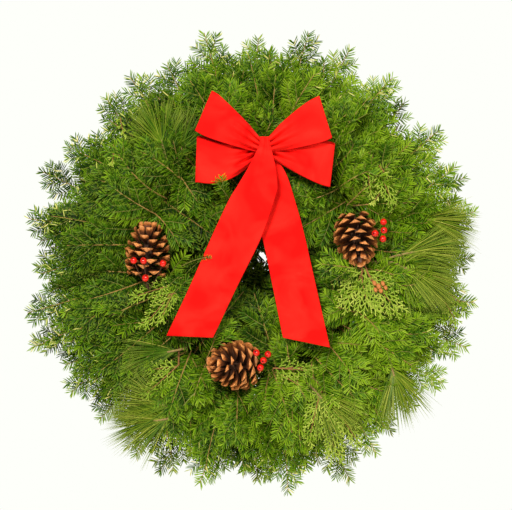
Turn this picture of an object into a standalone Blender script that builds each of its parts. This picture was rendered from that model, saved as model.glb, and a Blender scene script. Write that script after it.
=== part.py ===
"""A decorated balsam fir wreath, hung upright on its wire ring.

It faces -Y and +Z is up. The origin is where a nail or hook bears, inside the top of the ring.
Sizes in the constants are millimetres, and every mesh is written in metres.
"""

import math

import bmesh
import bpy
import numpy as np
from mathutils.bvhtree import BVHTree

MM = 0.001
GAP = 0.35

# The 12 inch frame, a ring of steel wire, and the soft wire that binds the stems to it.
RING_R = 152.4
RING_WIRE_R = 2.4
RING_Z = -(RING_R - RING_WIRE_R)
BINDING_TURNS = 16
BINDING_R = 0.8
BINDING_HALF_WIDTH = 3.9
BINDING_HALF_DEPTH = 9.0
BINDING_LEAD = 7.4
BINDING_SPAN = 3.6

# The foliage fills a ring between the central hole and the tips, and between two depths.
SECTORS = 16
SECTOR_ANGLE = 360.0 / SECTORS
FRONT_Y = -80.0
BACK_Y = 32.0
HOLE_R = 34.0
HOLE_X = 6.0
FRONT_REACH = (338, 326, 332, 340, 338, 324, 316, 342, 336, 328, 328, 330, 344, 326, 322, 324)
BACK_REACH = (318, 332, 322, 342, 338, 318, 326, 340, 322, 352, 326, 338, 322, 350, 316, 336)

# A needle is 20 mm long and stands on one side of a three-sided twig.
TWIG_R = 1.7
NEEDLE = 20.0
NEEDLE_PITCH = 12.0
BACK_PITCH = 14.0
INNER_PITCH = 27.0
# The bunches behind the ring with a tip that points into the hole, most of them between the bow's tails.
INNER_BUNCHES = (1, 4, 7, 10, 11, 12, 13, 14)
NEEDLE_APART = 1.0
NEEDLE_LEAN = 50.0
SHORTEST_NEEDLE = 6.0
TIP_LENGTH = 3.0

# Ribbon 2.5 inches wide.
RIBBON_WIDTH = 63.5
RIBBON_THICK = 1.0
PINCH = 8.7

BALSAM_GREEN = (0.055, 0.135, 0.022)
BALSAM_UNDER = (0.075, 0.150, 0.040)
CEDAR_GREEN = (0.300, 0.400, 0.045)
PINE_GREEN = (0.120, 0.200, 0.035)
CONE_BROWN = (0.190, 0.075, 0.028)
BERRY_RED = (0.700, 0.015, 0.008)
RIBBON_RED = (0.850, 0.014, 0.010)
WIRE_GREEN = (0.030, 0.075, 0.040)


def clear_scene():
    for thing in list(bpy.data.objects):
        bpy.data.objects.remove(thing)


def material(name, colour, roughness, metallic=0.0):
    made = bpy.data.materials.get(name)
    if made is None:
        made = bpy.data.materials.new(name)
        made.use_nodes = True
        shader = made.node_tree.nodes["Principled BSDF"]
        shader.inputs["Base Color"].default_value = (*colour, 1.0)
        shader.inputs["Roughness"].default_value = roughness
        shader.inputs["Metallic"].default_value = metallic
    return made


def add_object(name, points, faces, finish):
    """A mesh object from points in millimetres, linked to the scene."""
    mesh = bpy.data.meshes.new(name)
    mesh.from_pydata((np.asarray(points) * MM).tolist(), [], faces)
    mesh.validate()
    shape = bmesh.new()
    shape.from_mesh(mesh)
    bmesh.ops.recalc_face_normals(shape, faces=shape.faces)
    shape.to_mesh(mesh)
    shape.free()
    made = bpy.data.objects.new(name, mesh)
    made.data.materials.append(finish)
    bpy.context.scene.collection.objects.link(made)
    return made


def fused(name, pieces, finish, solver="EXACT"):
    """One object from several closed meshes: one Boolean union on a collection, applied."""
    first = add_object(name, *pieces[0], finish)
    if len(pieces) == 1:
        return first
    others = bpy.data.collections.new(name + "_pieces")
    bpy.context.scene.collection.children.link(others)
    for number, piece in enumerate(pieces[1:]):
        part = add_object(f"{name}_{number}", *piece, finish)
        bpy.context.scene.collection.objects.unlink(part)
        others.objects.link(part)
    union = first.modifiers.new("union", "BOOLEAN")
    union.operation = "UNION"
    union.operand_type = "COLLECTION"
    union.collection = others
    union.solver = solver
    graph = bpy.context.evaluated_depsgraph_get()
    joined = bpy.data.meshes.new_from_object(first.evaluated_get(graph))
    first.modifiers.clear()
    first.data = joined
    for part in list(others.objects):
        bpy.data.objects.remove(part)
    bpy.data.collections.remove(others)
    return keep_largest(first)


def keep_largest(thing):
    """Drops loose scraps that a union can leave."""
    shape = bmesh.new()
    shape.from_mesh(thing.data)
    left = set(shape.verts)
    groups = []
    while left:
        group = set()
        edge = [left.pop()]
        while edge:
            vertex = edge.pop()
            group.add(vertex)
            near = [e.other_vert(vertex) for e in vertex.link_edges]
            fresh = [v for v in near if v in left]
            left.difference_update(fresh)
            edge.extend(fresh)
        groups.append(group)
    groups.sort(key=len)
    for group in groups[:-1]:
        bmesh.ops.delete(shape, geom=list(group), context="VERTS")
    shape.to_mesh(thing.data)
    shape.free()
    return thing


def unit(v):
    v = np.asarray(v, float)
    return v / np.maximum(np.linalg.norm(v, axis=-1, keepdims=True), 1e-9)


def polar(angle, radius, depth):
    """A point at an angle and radius on the wreath, seen from the front, and at a depth."""
    a = math.radians(angle)
    return np.array([radius * math.cos(a), depth, RING_Z + radius * math.sin(a)])


def smooth_path(points, step):
    """Points about one step apart on a smooth curve through the given points."""
    points = np.asarray(points, float)
    ends = np.vstack([2 * points[0] - points[1], points, 2 * points[-1] - points[-2]])
    dense = []
    for i in range(1, len(ends) - 2):
        a, b, c, d = ends[i - 1 : i + 3]
        t = np.linspace(0, 1, 24, endpoint=False)[:, None]
        dense.append(
            0.5 * (2 * b + (c - a) * t + (2 * a - 5 * b + 4 * c - d) * t**2 + (3 * b - a - 3 * c + d) * t**3)
        )
    dense = np.vstack([*dense, points[-1:]])
    along = np.concatenate([[0], np.cumsum(np.linalg.norm(np.diff(dense, axis=0), axis=1))])
    count = max(2, int(round(along[-1] / step)) + 1)
    wanted = np.linspace(0, along[-1], count)
    return np.stack([np.interp(wanted, along, dense[:, i]) for i in range(3)], axis=1)


def frames(path, face):
    """Along, face and side directions at each point, with the face direction carried along."""
    along = unit(np.gradient(path, axis=0))
    faces = []
    current = np.asarray(face, float)
    for t in along:
        current = unit(current - t * current.dot(t))
        faces.append(current)
    faces = np.array(faces)
    return along, faces, np.cross(along, faces)


def tube(path, radius, sides, face=(0.0, -1.0, 0.0)):
    """A closed tube with flat ends along a list of points."""
    path = np.asarray(path, float)
    _, front, side = frames(path, face)
    points = []
    for p, f, s in zip(path, front, side):
        for k in range(sides):
            a = 2 * math.pi * k / sides
            points.append(p + radius * (math.cos(a) * f + math.sin(a) * s))
    faces = [list(range(sides))]
    for j in range(len(path) - 1):
        for k in range(sides):
            a, b = j * sides + k, j * sides + (k + 1) % sides
            faces.append([a, b, b + sides, a + sides])
    faces.append([(len(path) - 1) * sides + k for k in range(sides)])
    return points, faces


def ring_tube(centre, radius, wire, stations, sides):
    """A closed round ring of wire that faces -Y."""
    points = []
    for j in range(stations):
        a = 2 * math.pi * j / stations
        out = np.array([math.cos(a), 0.0, math.sin(a)])
        for k in range(sides):
            b = 2 * math.pi * k / sides
            points.append(centre + out * (radius + wire * math.sin(b)) - np.array([0, wire * math.cos(b), 0]))
    faces = []
    for j in range(stations):
        for k in range(sides):
            a, b = j * sides + k, j * sides + (k + 1) % sides
            size = stations * sides
            faces.append([a, b, (b + sides) % size, (a + sides) % size])
    return points, faces


def to_line(points, line):
    """Distance from each point to a line through several points."""
    best = np.full(len(points), 1e9)
    for a, b in zip(line[:-1], line[1:]):
        ab = b - a
        t = np.clip((points - a) @ ab / max(ab @ ab, 1e-9), 0, 1)
        best = np.minimum(best, np.linalg.norm(points - a - t[:, None] * ab, axis=1))
    return best


class Space:
    """What the foliage has to stay clear of, and the room that each cedar or pine spray keeps."""

    def __init__(self):
        self.lines = []
        self.solids = []
        self.rooms = {}

    def add_line(self, line, radius):
        self.lines.append((np.asarray(line, float), radius))

    def add_solid(self, centre, half_sizes, axis):
        """An ellipsoid: half its length along the axis, and half its width across it."""
        self.solids.append((np.asarray(centre, float), half_sizes, unit(axis)))

    def add_room(self, name, line, radii, flatness):
        self.rooms[name] = (np.asarray(line, float), np.asarray(radii, float), flatness)

    def room_depth(self, name, points):
        """How far inside its room each point lies, in millimetres."""
        line, radii, flatness = self.rooms[name]
        best = np.full(len(points), -1e9)
        squash = np.array([1.0, flatness, 1.0])
        for a, b, ra, rb in zip(line[:-1], line[1:], radii[:-1], radii[1:]):
            ab = (b - a) * squash
            t = np.clip(((points - a) * squash) @ ab / (ab @ ab), 0, 1)
            away = np.linalg.norm((points - a) * squash - t[:, None] * ab, axis=1)
            best = np.maximum(best, (ra + t * (rb - ra) - away) / flatness)
        return best

    def clear_of_fixed(self, points):
        flat = np.hypot(np.hypot(points[:, 0], points[:, 2] - RING_Z) - RING_R, points[:, 1])
        best = flat - RING_WIRE_R
        for line, radius in self.lines:
            near = np.all(points > line.min(0) - 30, axis=1) & np.all(points < line.max(0) + 30, axis=1)
            if near.any():
                best[near] = np.minimum(best[near], to_line(points[near], line) - radius)
        for centre, (half_length, half_width), axis in self.solids:
            away = points - centre
            along = away @ axis
            across = np.linalg.norm(away - along[:, None] * axis, axis=1)
            share = np.hypot(along / half_length, across / half_width)
            best = np.minimum(best, (share - 1) * min(half_length, half_width))
        hole = np.hypot(points[:, 0] - HOLE_X, points[:, 2] - RING_Z) - HOLE_R
        return np.minimum(best, hole)

    def clear_of_rooms(self, points, own=None):
        best = np.full(len(points), 1e9)
        for name in self.rooms:
            if name != own:
                best = np.minimum(best, -self.room_depth(name, points))
        return best

    def sector(self, centre, depths):
        """A test that gives each point's distance to the sides of a wedge and to what it avoids."""
        half = math.radians(SECTOR_ANGLE / 2)
        low, high = depths

        def clear(points):
            radius = np.hypot(points[:, 0], points[:, 2] - RING_Z)
            off = np.arctan2(points[:, 2] - RING_Z, points[:, 0]) - math.radians(centre)
            sides = radius * np.minimum(np.sin(half - off), np.sin(half + off))
            sides = np.where(np.cos(off) < 0, -1.0, sides) - GAP / 2
            layer = np.minimum(points[:, 1] - low, high - points[:, 1]) - GAP / 2
            inside = np.minimum(sides, layer)
            inside = np.minimum(inside, self.clear_of_fixed(points) - GAP)
            return np.minimum(inside, self.clear_of_rooms(points) - GAP)

        return clear

    def room(self, name):
        """A test that gives each point's distance to the edge of one spray's own room."""

        def clear(points):
            inside = np.minimum(self.room_depth(name, points), self.clear_of_fixed(points) - GAP)
            return np.minimum(inside, self.clear_of_rooms(points, name) - GAP)

        return clear


def segments_apart(a0, a1, b0, b1):
    """The least distance from each segment a to any segment b."""
    if not len(b0):
        return np.full(len(a0), 1e9)
    u = (a1 - a0)[:, None]
    v = (b1 - b0)[None]
    w = a0[:, None] - b0[None]
    uu, uv, vv = (u * u).sum(-1), (u * v).sum(-1), (v * v).sum(-1)
    uw, vw = (u * w).sum(-1), (v * w).sum(-1)
    den = np.maximum(uu * vv - uv * uv, 1e-9)
    s = np.clip((uv * vw - vv * uw) / den, 0, 1)
    t = np.clip((uv * s + vw) / np.maximum(vv, 1e-9), 0, 1)
    s = np.clip((uv * t - uw) / np.maximum(uu, 1e-9), 0, 1)
    return np.linalg.norm(w + s[..., None] * u - t[..., None] * v, axis=-1).min(axis=1)


class Bunch:
    """What one node already holds, so that its needles pass each other and its twigs."""

    def __init__(self):
        self.twigs = {}
        self.starts = np.zeros((0, 3))
        self.ends = np.zeros((0, 3))

    def add_twig(self, name, path):
        self.twigs[name] = path

    def room_for(self, name, roots, tips, spreads):
        """How far each needle passes from the rest, measured at its middle line and both edges."""
        near = np.full(len(roots), 1e9)
        for side in (-0.9, 0.0, 0.9):
            starts = roots + spreads * side
            near = np.minimum(near, segments_apart(starts, tips, self.starts, self.ends))
            for other, path in self.twigs.items():
                if other != name:
                    passing = segments_apart(starts, tips, path[:-1], path[1:]) - TWIG_R * 0.8
                    near = np.minimum(near, passing)
        return near

    def add_needles(self, roots, tips, spreads):
        for side in (-0.9, 0.0, 0.9):
            self.starts = np.vstack([self.starts, roots + spreads * side])
            self.ends = np.vstack([self.ends, tips])


def trimmed(path, clear, radius):
    """The path up to the first point with no room for the twig."""
    room = clear(path) >= radius
    blocked = np.flatnonzero(~room[2:])
    return path if not len(blocked) else path[: blocked[0] + 2]


def needled_twig(name, bunch, clear, needles, rng, radius=TWIG_R, turn=0.0, flat=1.0):
    """A closed twig whose sides are drawn out into needles, each a slim pyramid.

    needles gives the sides of the twig, a needle's length at a share of the way along,
    its lean from the twig in degrees, and the sides that carry needles.
    """
    path = bunch.twigs[name]
    face = (0.0, -1.0, 0.0)
    sides, length_at, lean_at, bearing = needles
    _, front, side = frames(path, face)
    along = unit(np.gradient(path, axis=0))
    count = len(path)
    points = []
    for j in range(count):
        share = j / (count - 1)
        size = radius * (1 - 0.35 * share)
        for k in range(sides):
            a = 2 * math.pi * (k + 0.5) / sides + turn
            points.append(path[j] + size * (math.cos(a) * front[j] + flat * math.sin(a) * side[j]))
    points.append(path[-1] + along[-1] * TIP_LENGTH * radius)
    tip = len(points) - 1
    faces = [list(range(sides))[::-1]]
    roots, leans, lengths, quads, spreads = [], [], [], [], []
    for j in range(count - 1):
        share = (j + 0.5) / (count - 1)
        for k in range(sides):
            a, b = j * sides + k, j * sides + (k + 1) % sides
            quad = [a, b, b + sides, a + sides]
            root = np.mean([points[q] for q in quad], axis=0)
            middle = (path[j] + path[j + 1]) / 2
            forward = unit(path[j + 1] - path[j])
            outward = root - middle
            outward = unit(outward - forward * outward.dot(forward))
            lean = math.radians(lean_at(share))
            length = length_at(share) * rng.uniform(0.88, 1.08)
            if k not in bearing or length <= 0:
                faces.append(quad)
                continue
            roots.append(root)
            leans.append(outward * math.sin(lean) + forward * math.cos(lean))
            lengths.append(length)
            quads.append(quad)
            spreads.append((path[j + 1] - path[j]) / 2)
    faces += [[(count - 1) * sides + k, (count - 1) * sides + (k + 1) % sides, tip] for k in range(sides)]
    if not roots:
        return points, faces
    roots, leans, lengths, spreads = map(np.array, (roots, leans, lengths, spreads))
    steps = np.array([0.35, 0.6, 0.8, 1.0])
    margins = 0.3 + 2.4 * (1 - steps)
    placed = np.zeros(len(roots), bool)
    reached = np.array(roots)
    for scale in (1.0, 0.86, 0.72, 0.58, 0.45, 0.34):
        reach = lengths * scale
        tests = roots[:, None] + leans[:, None] * (reach[:, None] * steps)[:, :, None]
        room = clear(tests.reshape(-1, 3)).reshape(len(roots), -1)
        fits = (room >= margins).all(axis=1) & ~placed & (reach >= SHORTEST_NEEDLE)
        fits &= bunch.room_for(name, roots, tests[:, -1], spreads) >= NEEDLE_APART
        for i in np.flatnonzero(fits):
            points.append(roots[i] + leans[i] * reach[i])
            new = len(points) - 1
            a, b, c, d = quads[i]
            faces += [[a, b, new], [b, c, new], [c, d, new], [d, a, new]]
        placed |= fits
        reached[fits] = tests[fits, -1]
    bunch.add_needles(roots[placed], reached[placed], spreads[placed])
    faces += [quads[i] for i in np.flatnonzero(~placed)]
    return points, faces


def balsam_needles(share_bare=0.0):
    """Needles that shorten and close up towards the twig's end, none on the bare share of it."""

    def length_at(share):
        if share < share_bare:
            return 0.0
        return NEEDLE * (1.0 - 0.35 * max(0.0, share - 0.7) / 0.3)

    def lean_at(share):
        return NEEDLE_LEAN - 22.0 * max(0.0, share - 0.75) / 0.25

    return 3, length_at, lean_at, (0, 1, 2)


def longest_path(routes, clear, step):
    """The route on which a twig gets furthest before it meets something."""
    best = None
    for route in routes:
        path = trimmed(smooth_path(route, step), clear, TWIG_R)
        if best is None or len(path) > len(best) + 1:
            best = path
    return best


def side_path(path, at, turn_angle, length, rise, clear, pitch=NEEDLE_PITCH):
    """The route of a side twig that leaves a path at a share of its length."""
    j = min(len(path) - 2, int(at * (len(path) - 1)))
    forward = unit(path[j + 1] - path[j])
    across = unit(np.cross(forward, np.array([0.0, -1.0, 0.0])))
    a = math.radians(turn_angle)
    lift = np.array([0.0, rise, 0.0])
    first = unit(forward * math.cos(a) + across * math.sin(a) + lift)
    last = unit(forward * math.cos(a * 0.6) + across * math.sin(a * 0.6) + lift * 0.3)
    middle = path[j] + first * length * 0.5
    return trimmed(smooth_path([path[j], middle, middle + last * length * 0.5], pitch), clear, TWIG_R)


def bunch_pieces(paths, clear, rng, turn):
    """Closed needled twigs for the routes that are long enough, each with its bare share."""
    bunch = Bunch()
    kept = {name: entry for name, entry in paths.items() if len(entry[0]) >= 4}
    for name, (path, _) in kept.items():
        bunch.add_twig(name, path)
    return [
        needled_twig(name, bunch, clear, balsam_needles(bare), rng, turn=turn)
        for name, (_, bare) in kept.items()
    ]


def outward_route(angle, lean, depth, reach):
    """From the stem under the binding wire, over the ring and out to the tip."""
    return [
        polar(angle - 7.5, RING_R, -4.6),
        polar(angle - 3.8, RING_R, -4.8),
        polar(angle - 0.8, 158, -4.8 - 7 * depth),
        polar(angle + 0.2 * lean, 178, -5 - 33 * depth),
        polar(angle + 0.5 * lean, 215, -6 - 50 * depth),
        polar(angle + 0.8 * lean, 262, -8 - 46 * depth),
        polar(angle + lean, reach - TIP_LENGTH * TWIG_R, -10 - 26 * depth),
    ]


def inward_route(start, angle, lean, depth):
    """From the stem inwards to the rim of the hole."""
    return [
        start,
        polar(angle + 0.2 * lean, 138, -8 - 30 * depth),
        polar(angle + 0.6 * lean, 108, -10 - 46 * depth),
        polar(angle + lean, 66, -10 - 34 * depth),
    ]


def back_inward_route(start, angle, lean, depth):
    """From the stem round behind the ring wire and into the hole."""
    return [
        start,
        polar(angle - 3.6, 164, 19 * depth),
        polar(angle - 3.2, 140, 20 * depth),
        polar(angle + 0.2 * lean, 96, 17 * depth),
        polar(angle + 0.5 * lean, 62, 13 * depth),
        polar(angle + 0.5 * lean, 36, 10 * depth),
    ]


def front_bunch(number, space):
    """One bunch of balsam tips in front of the ring, in its own wedge."""
    rng = np.random.default_rng(100 + number)
    angle = (number + 0.5) * SECTOR_ANGLE
    clear = space.sector(angle, (FRONT_Y, 0.0))
    lean = rng.uniform(-3.0, 3.0)
    reach = FRONT_REACH[number]
    choices = [(lean, 1.0), (lean, 0.55), (lean + 5, 0.9), (lean - 5, 0.9), (lean, 0.25)]
    routes = [outward_route(angle, a, d, reach) for a, d in choices]
    path = longest_path(routes, clear, NEEDLE_PITCH)
    start = path[min(len(path) - 2, round(36 / NEEDLE_PITCH))]
    inner = [inward_route(start, angle, lean + a, d) for a, d in ((0, 1.0), (5, 0.9), (-5, 0.9), (0, 0.4))]
    paths = {
        "left": (side_path(path, 0.52, 42, 58, -0.15, clear), 0.15),
        "right": (side_path(path, 0.60, -42, 54, -0.1, clear), 0.15),
        "inner": (longest_path(inner, clear, NEEDLE_PITCH), 0.2),
        "main": (path, 0.3),
    }
    pieces = bunch_pieces(paths, clear, rng, 0.0)
    return fused(f"balsam_front_{number + 1:02d}", pieces, material("balsam_green", BALSAM_GREEN, 0.5))


def back_bunch(number, space):
    """One bunch of balsam tips behind the ring, half a wedge round from those in front."""
    rng = np.random.default_rng(300 + number)
    angle = number * SECTOR_ANGLE
    clear = space.sector(angle, (0.0, BACK_Y))
    reach = BACK_REACH[number]
    lean = rng.uniform(-3.0, 3.0)
    route = [
        polar(angle + 8.6, RING_R, 4.6),
        polar(angle + 4.2, RING_R, 4.8),
        polar(angle + 1.2, 159, 6.5),
        polar(angle + 0.3 * lean, 185, 13),
        polar(angle + 0.7 * lean, 250, 14),
        polar(angle + lean, reach - TIP_LENGTH * TWIG_R, 10),
    ]
    path = trimmed(smooth_path(route, BACK_PITCH), clear, TWIG_R)
    paths = {
        "left": (side_path(path, 0.5, 36, 54, 0.0, clear, BACK_PITCH), 0.15),
        "right": (side_path(path, 0.58, -36, 50, 0.0, clear, BACK_PITCH), 0.15),
    }
    if number in INNER_BUNCHES:
        start = path[min(len(path) - 2, round(36 / BACK_PITCH))]
        inner = [back_inward_route(start, angle, lean, d) for d in (1.0, 0.8, 0.6)]
        paths["inner"] = (longest_path(inner, clear, INNER_PITCH), 0.3)
    paths["main"] = (path, 0.38)
    pieces = bunch_pieces(paths, clear, rng, math.pi / 3)
    return fused(f"balsam_back_{number + 1:02d}", pieces, material("balsam_underside", BALSAM_UNDER, 0.55))


def make_ring():
    centre = np.array([0.0, 0.0, RING_Z])
    points, faces = ring_tube(centre, RING_R, RING_WIRE_R, 30, 6)
    return add_object("ring_frame", points, faces, material("coated_steel_wire", WIRE_GREEN, 0.35, 0.3))


def binding_line(steps=6):
    """The wire's route: one turn over the stems at each wedge, then a run along inside the ring."""
    line = []
    for number in range(BINDING_TURNS):
        start = SECTOR_ANGLE * (number + 0.5) - BINDING_LEAD
        for j in range(steps + 1):
            phase = 2 * math.pi * j / steps - math.pi / 2
            across = BINDING_HALF_WIDTH * math.sin(phase)
            depth = -BINDING_HALF_DEPTH * math.cos(phase)
            line.append(polar(start + BINDING_SPAN * j / steps, RING_R + across, depth))
    return np.array(line)


def make_binding(line):
    points, faces = tube(line, BINDING_R, 3)
    return add_object("binding_wire", points, faces, material("paddle_wire", WIRE_GREEN, 0.4, 0.6))


def strip(stations):
    """Rows of points across a ribbon, from (centre, across, push) at each station."""
    rows = []
    for centre, across, pushes in stations:
        shares = np.linspace(-1, 1, len(pushes))
        rows.append([centre + across * s + np.array([0.0, p, 0.0]) for s, p in zip(shares, pushes)])
    return np.array(rows)


def ribbon_object(name, rows):
    count, width = rows.shape[:2]
    faces = []
    for j in range(count - 1):
        for k in range(width - 1):
            a = j * width + k
            faces.append([a, a + 1, a + 1 + width, a + width])
    made = add_object(name, rows.reshape(-1, 3), faces, material("red_velvet", RIBBON_RED, 0.7))
    thick = made.modifiers.new("thickness", "SOLIDIFY")
    thick.thickness = RIBBON_THICK * MM
    thick.offset = 0.0
    return made


def xz(x, z, y=0.0):
    """A point from its place seen from the front, relative to the ring's centre, and its depth."""
    return np.array([x, y, RING_Z + z])


def loop_side(knot, corner_a, corner_b, depths, back):
    """Stations of one loop from the knot out to its fold, or from the fold back to the knot."""
    fold = (corner_a + corner_b) / 2
    half = (corner_b - corner_a) / 2
    front_y, middle_y, fold_y = depths
    stations = []
    for share in (0.0, 0.22, 0.45, 0.72, 0.93):
        centre = knot + (fold - knot) * share
        centre = centre * np.array([1.0, 0.0, 1.0])
        bulge = max(0.0, math.sin(math.pi * (share - 0.2) / 0.73)) if share > 0.2 else 0.0
        depth = front_y + (fold_y - front_y) * share + (middle_y - (front_y + fold_y) / 2) * bulge
        wide = PINCH + (RIBBON_WIDTH / 2 - PINCH) * min(1.0, share / 0.85)
        pleat = 0.0 if back else 2.2 * math.sin(math.pi * min(1.0, share / 0.72))
        spread = min(1.0, share / 0.3)
        lean = unit(unit(half) * spread + np.array([0.0, 0.0, -1.0]) * (1 - spread)) * wide
        stations.append((centre + np.array([0.0, depth, 0.0]), lean, (pleat, -pleat, pleat, -pleat, pleat)))
    return stations[::-1] if back else stations


def make_loops(name, knot, left, right, depths):
    """A ring of ribbon pressed flat and pinched in the middle, which gives two loops."""
    front, back, middle_front, middle_back, fold_y = depths
    stations = []
    for corners, start in ((left, 1), (right, -1)):
        corner_a, corner_b = corners
        fold = (corner_a + corner_b) / 2 * np.array([1.0, 0.0, 1.0]) + np.array([0.0, fold_y, 0.0])
        front_side = loop_side(knot, corner_a, corner_b, (front, middle_front, fold_y - 3.0), False)
        back_side = loop_side(knot, corner_a, corner_b, (back, middle_back, fold_y + 3.0), True)
        half = unit(corner_b - corner_a) * RIBBON_WIDTH / 2
        turn = [(fold, half, (0.0, 0.0, 0.0, 0.0, 0.0))]
        side = front_side + turn + back_side
        stations.append(side if start > 0 else side[::-1])
    shift = np.array([1.6, 0.0, 0.0])
    left_side, right_side = stations
    left_side[0] = (left_side[0][0] - shift, left_side[0][1], (0.0,) * 5)
    left_side[-1] = (left_side[-1][0] - shift, left_side[-1][1], (0.0,) * 5)
    right_side[0] = (right_side[0][0] + shift, right_side[0][1], (0.0,) * 5)
    right_side[-1] = (right_side[-1][0] + shift, right_side[-1][1], (0.0,) * 5)
    return ribbon_object(name, strip(left_side + right_side))


def make_tail(name, edges):
    """A flat tail from pairs of points on its two edges, with its depth at each."""
    stations = []
    for (xa, za), (xb, zb), y, pleat in edges:
        a, b = xz(xa, za, y), xz(xb, zb, y)
        stations.append(((a + b) / 2, (b - a) / 2, (0.0, pleat, 0.0)))
    return ribbon_object(name, strip(stations))


def cone_body(centre, axis, half_length, half_width, turn):
    """A pine cone: rows of scales, each drawn out from the core to a wide lip."""
    axis = unit(axis)
    side = unit(np.cross(axis, np.array([0.0, -1.0, 0.05])))
    other = np.cross(axis, side)
    rows, around = 7, 8
    reach = 9.5
    points = []
    for j in range(rows + 1):
        share = j / rows
        along = -half_length * 0.84 + 1.66 * half_length * share
        core = (half_width - reach) * math.sin(math.pi * (0.16 + 0.80 * share)) ** 0.75
        for k in range(around):
            a = 2 * math.pi * (k + 0.5 * j) / around + turn
            points.append(centre + axis * along + core * (math.cos(a) * side + math.sin(a) * other))
    foot = len(points)
    points.append(centre - axis * half_length * 0.93)
    top = len(points)
    points.append(centre + axis * half_length)
    faces = [[foot, k, (k + 1) % around] for k in range(around)]
    faces += [[rows * around + k, top, rows * around + (k + 1) % around] for k in range(around)]
    for j in range(rows):
        share = (j + 0.5) / rows
        size = 0.55 + 0.45 * math.sin(math.pi * min(1.0, 0.2 + share)) if share > 0.3 else 1.0
        for k in range(around):
            a, b = j * around + k, j * around + (k + 1) % around
            quad = [a, b, b + around, a + around]
            root = np.mean([points[q] for q in quad], axis=0)
            middle = centre + axis * (root - centre).dot(axis)
            outward = unit(root - middle)
            across = np.cross(axis, outward)
            wide = 0.46 * np.linalg.norm(points[a] - points[b])
            rise = 4.5 - 6.0 * max(0.0, 0.25 - share)
            lip = root + outward * reach * size + axis * rise
            points.append(lip - across * wide)
            points.append(lip + across * wide)
            near, far = len(points) - 2, len(points) - 1
            faces += [[a, b, far, near], [b, b + around, far], [b + around, a + around, near, far]]
            faces.append([a + around, a, near])
    return points, faces


def sphere(centre, radius):
    """A berry as a closed ball, with its faces in rows from pole to pole."""
    around, rows = 6, 3
    points = [centre + np.array([0, 0, radius])]
    for j in range(1, rows):
        b = math.pi * j / rows
        for k in range(around):
            a = 2 * math.pi * k / around
            out = np.array([math.sin(b) * math.cos(a), math.sin(b) * math.sin(a), math.cos(b)])
            points.append(centre + radius * out)
    points.append(centre - np.array([0, 0, radius]))
    faces = [[0, 1 + k, 1 + (k + 1) % around] for k in range(around)]
    for j in range(rows - 2):
        for k in range(around):
            a, b = 1 + around * j + k, 1 + around * j + (k + 1) % around
            faces.append([a, a + around, b + around, b])
    last = 1 + around * (rows - 2)
    faces += [[last + k, last + around, last + (k + 1) % around] for k in range(around)]
    return points, faces


# Each cone with its berries, which are places (x, z, y) like the hub where their stems meet.
BERRY_R = 4.9
CONE_WIRE_R = 1.1
PICK_R = 1.0
CONES = {
    "left": {
        "centre": xz(-155.0, 12.0, -56.0),
        "axis": (0.05, -0.20, 1.0),
        "half": (43.0, 33.0),
        "angle": 178.0,
        "berries": ((-173.0, 2.5, -92.0), (-158.5, 2.0, -97.0), (-131.0, -1.5, -91.0), (-156.0, -22.5, -93.0)),
        "hub": (-152.0, -40.0, -80.0),
    },
    "right": {
        "centre": xz(146.0, 36.0, -56.0),
        "axis": (0.10, -0.55, -0.80),
        "half": (40.0, 32.0),
        "angle": 19.0,
        "berries": ((184.0, 57.5, -80.0), (171.0, 41.0, -96.0), (184.0, 45.5, -90.0), (183.0, 33.5, -82.0)),
        "hub": (190.0, 44.0, -66.0),
    },
    "bottom": {
        "centre": xz(-27.5, -149.0, -56.0),
        "axis": (-0.75, -0.60, 0.12),
        "half": (38.0, 35.0),
        "angle": 266.0,
        "berries": ((2.0, -129.0, -92.0), (18.5, -131.5, -84.0), (12.0, -140.0, -92.0), (8.0, -150.5, -88.0)),
        "hub": (19.0, -141.0, -66.0),
    },
}


def cone_mesh(cone):
    half_length, half_width = cone["half"]
    return cone_body(cone["centre"], cone["axis"], half_length, half_width, 0.3)


def reach_of(cone, start, radius):
    """Where a wire from a point towards the cone's middle has to end, just short of its scales."""
    points, faces = cone_mesh(cone)
    tree = BVHTree.FromPolygons([tuple(p) for p in points], faces)
    towards = unit(cone["centre"] - start)
    side = unit(np.cross(towards, np.array([0.0, 0.0, 1.0])))
    other = np.cross(towards, side)
    nearest = 1e9
    for k in range(9):
        a = 2 * math.pi * k / 8
        off = (side * math.cos(a) + other * math.sin(a)) * radius * (k > 0)
        hit = tree.ray_cast(tuple(start + off), tuple(towards))
        if hit[3] is not None:
            nearest = min(nearest, hit[3])
    return start + towards * (nearest - GAP)


def cone_wire_line(cone):
    """The wire that ties a cone back to the ring, from the ring to the cone."""
    seat = polar(cone["angle"], RING_R, -(RING_WIRE_R + GAP + CONE_WIRE_R / 2))
    touch = reach_of(cone, seat, CONE_WIRE_R)
    return np.array([seat, (seat + touch) / 2, touch])


def make_cone(name, cone):
    add_object(f"pine_cone_{name}", *cone_mesh(cone), material("pine_cone_scale", CONE_BROWN, 0.65))


def make_cone_wire(name, cone):
    points, faces = tube(cone_wire_line(cone), CONE_WIRE_R, 4)
    add_object(f"cone_wire_{name}", points, faces, material("florist_wire", WIRE_GREEN, 0.4, 0.5))


def pick_lines(cone):
    """The wires of a berry pick: one from the cone to the hub, and one to each berry."""
    x, z, y = cone["hub"]
    hub = xz(x, z, y)
    end = reach_of(cone, hub, PICK_R)
    lines = [np.array([end, (end + hub) / 2, hub])]
    return lines + [np.array([hub, xz(x, z, y)]) for x, z, y in cone["berries"]]


def make_berries(name, cone):
    pieces = [tube(line, PICK_R, 3) for line in pick_lines(cone)]
    pieces += [sphere(xz(x, z, y), BERRY_R) for x, z, y in cone["berries"]]
    fused(f"berry_pick_{name}", pieces, material("berry_red", BERRY_RED, 0.2))


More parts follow.
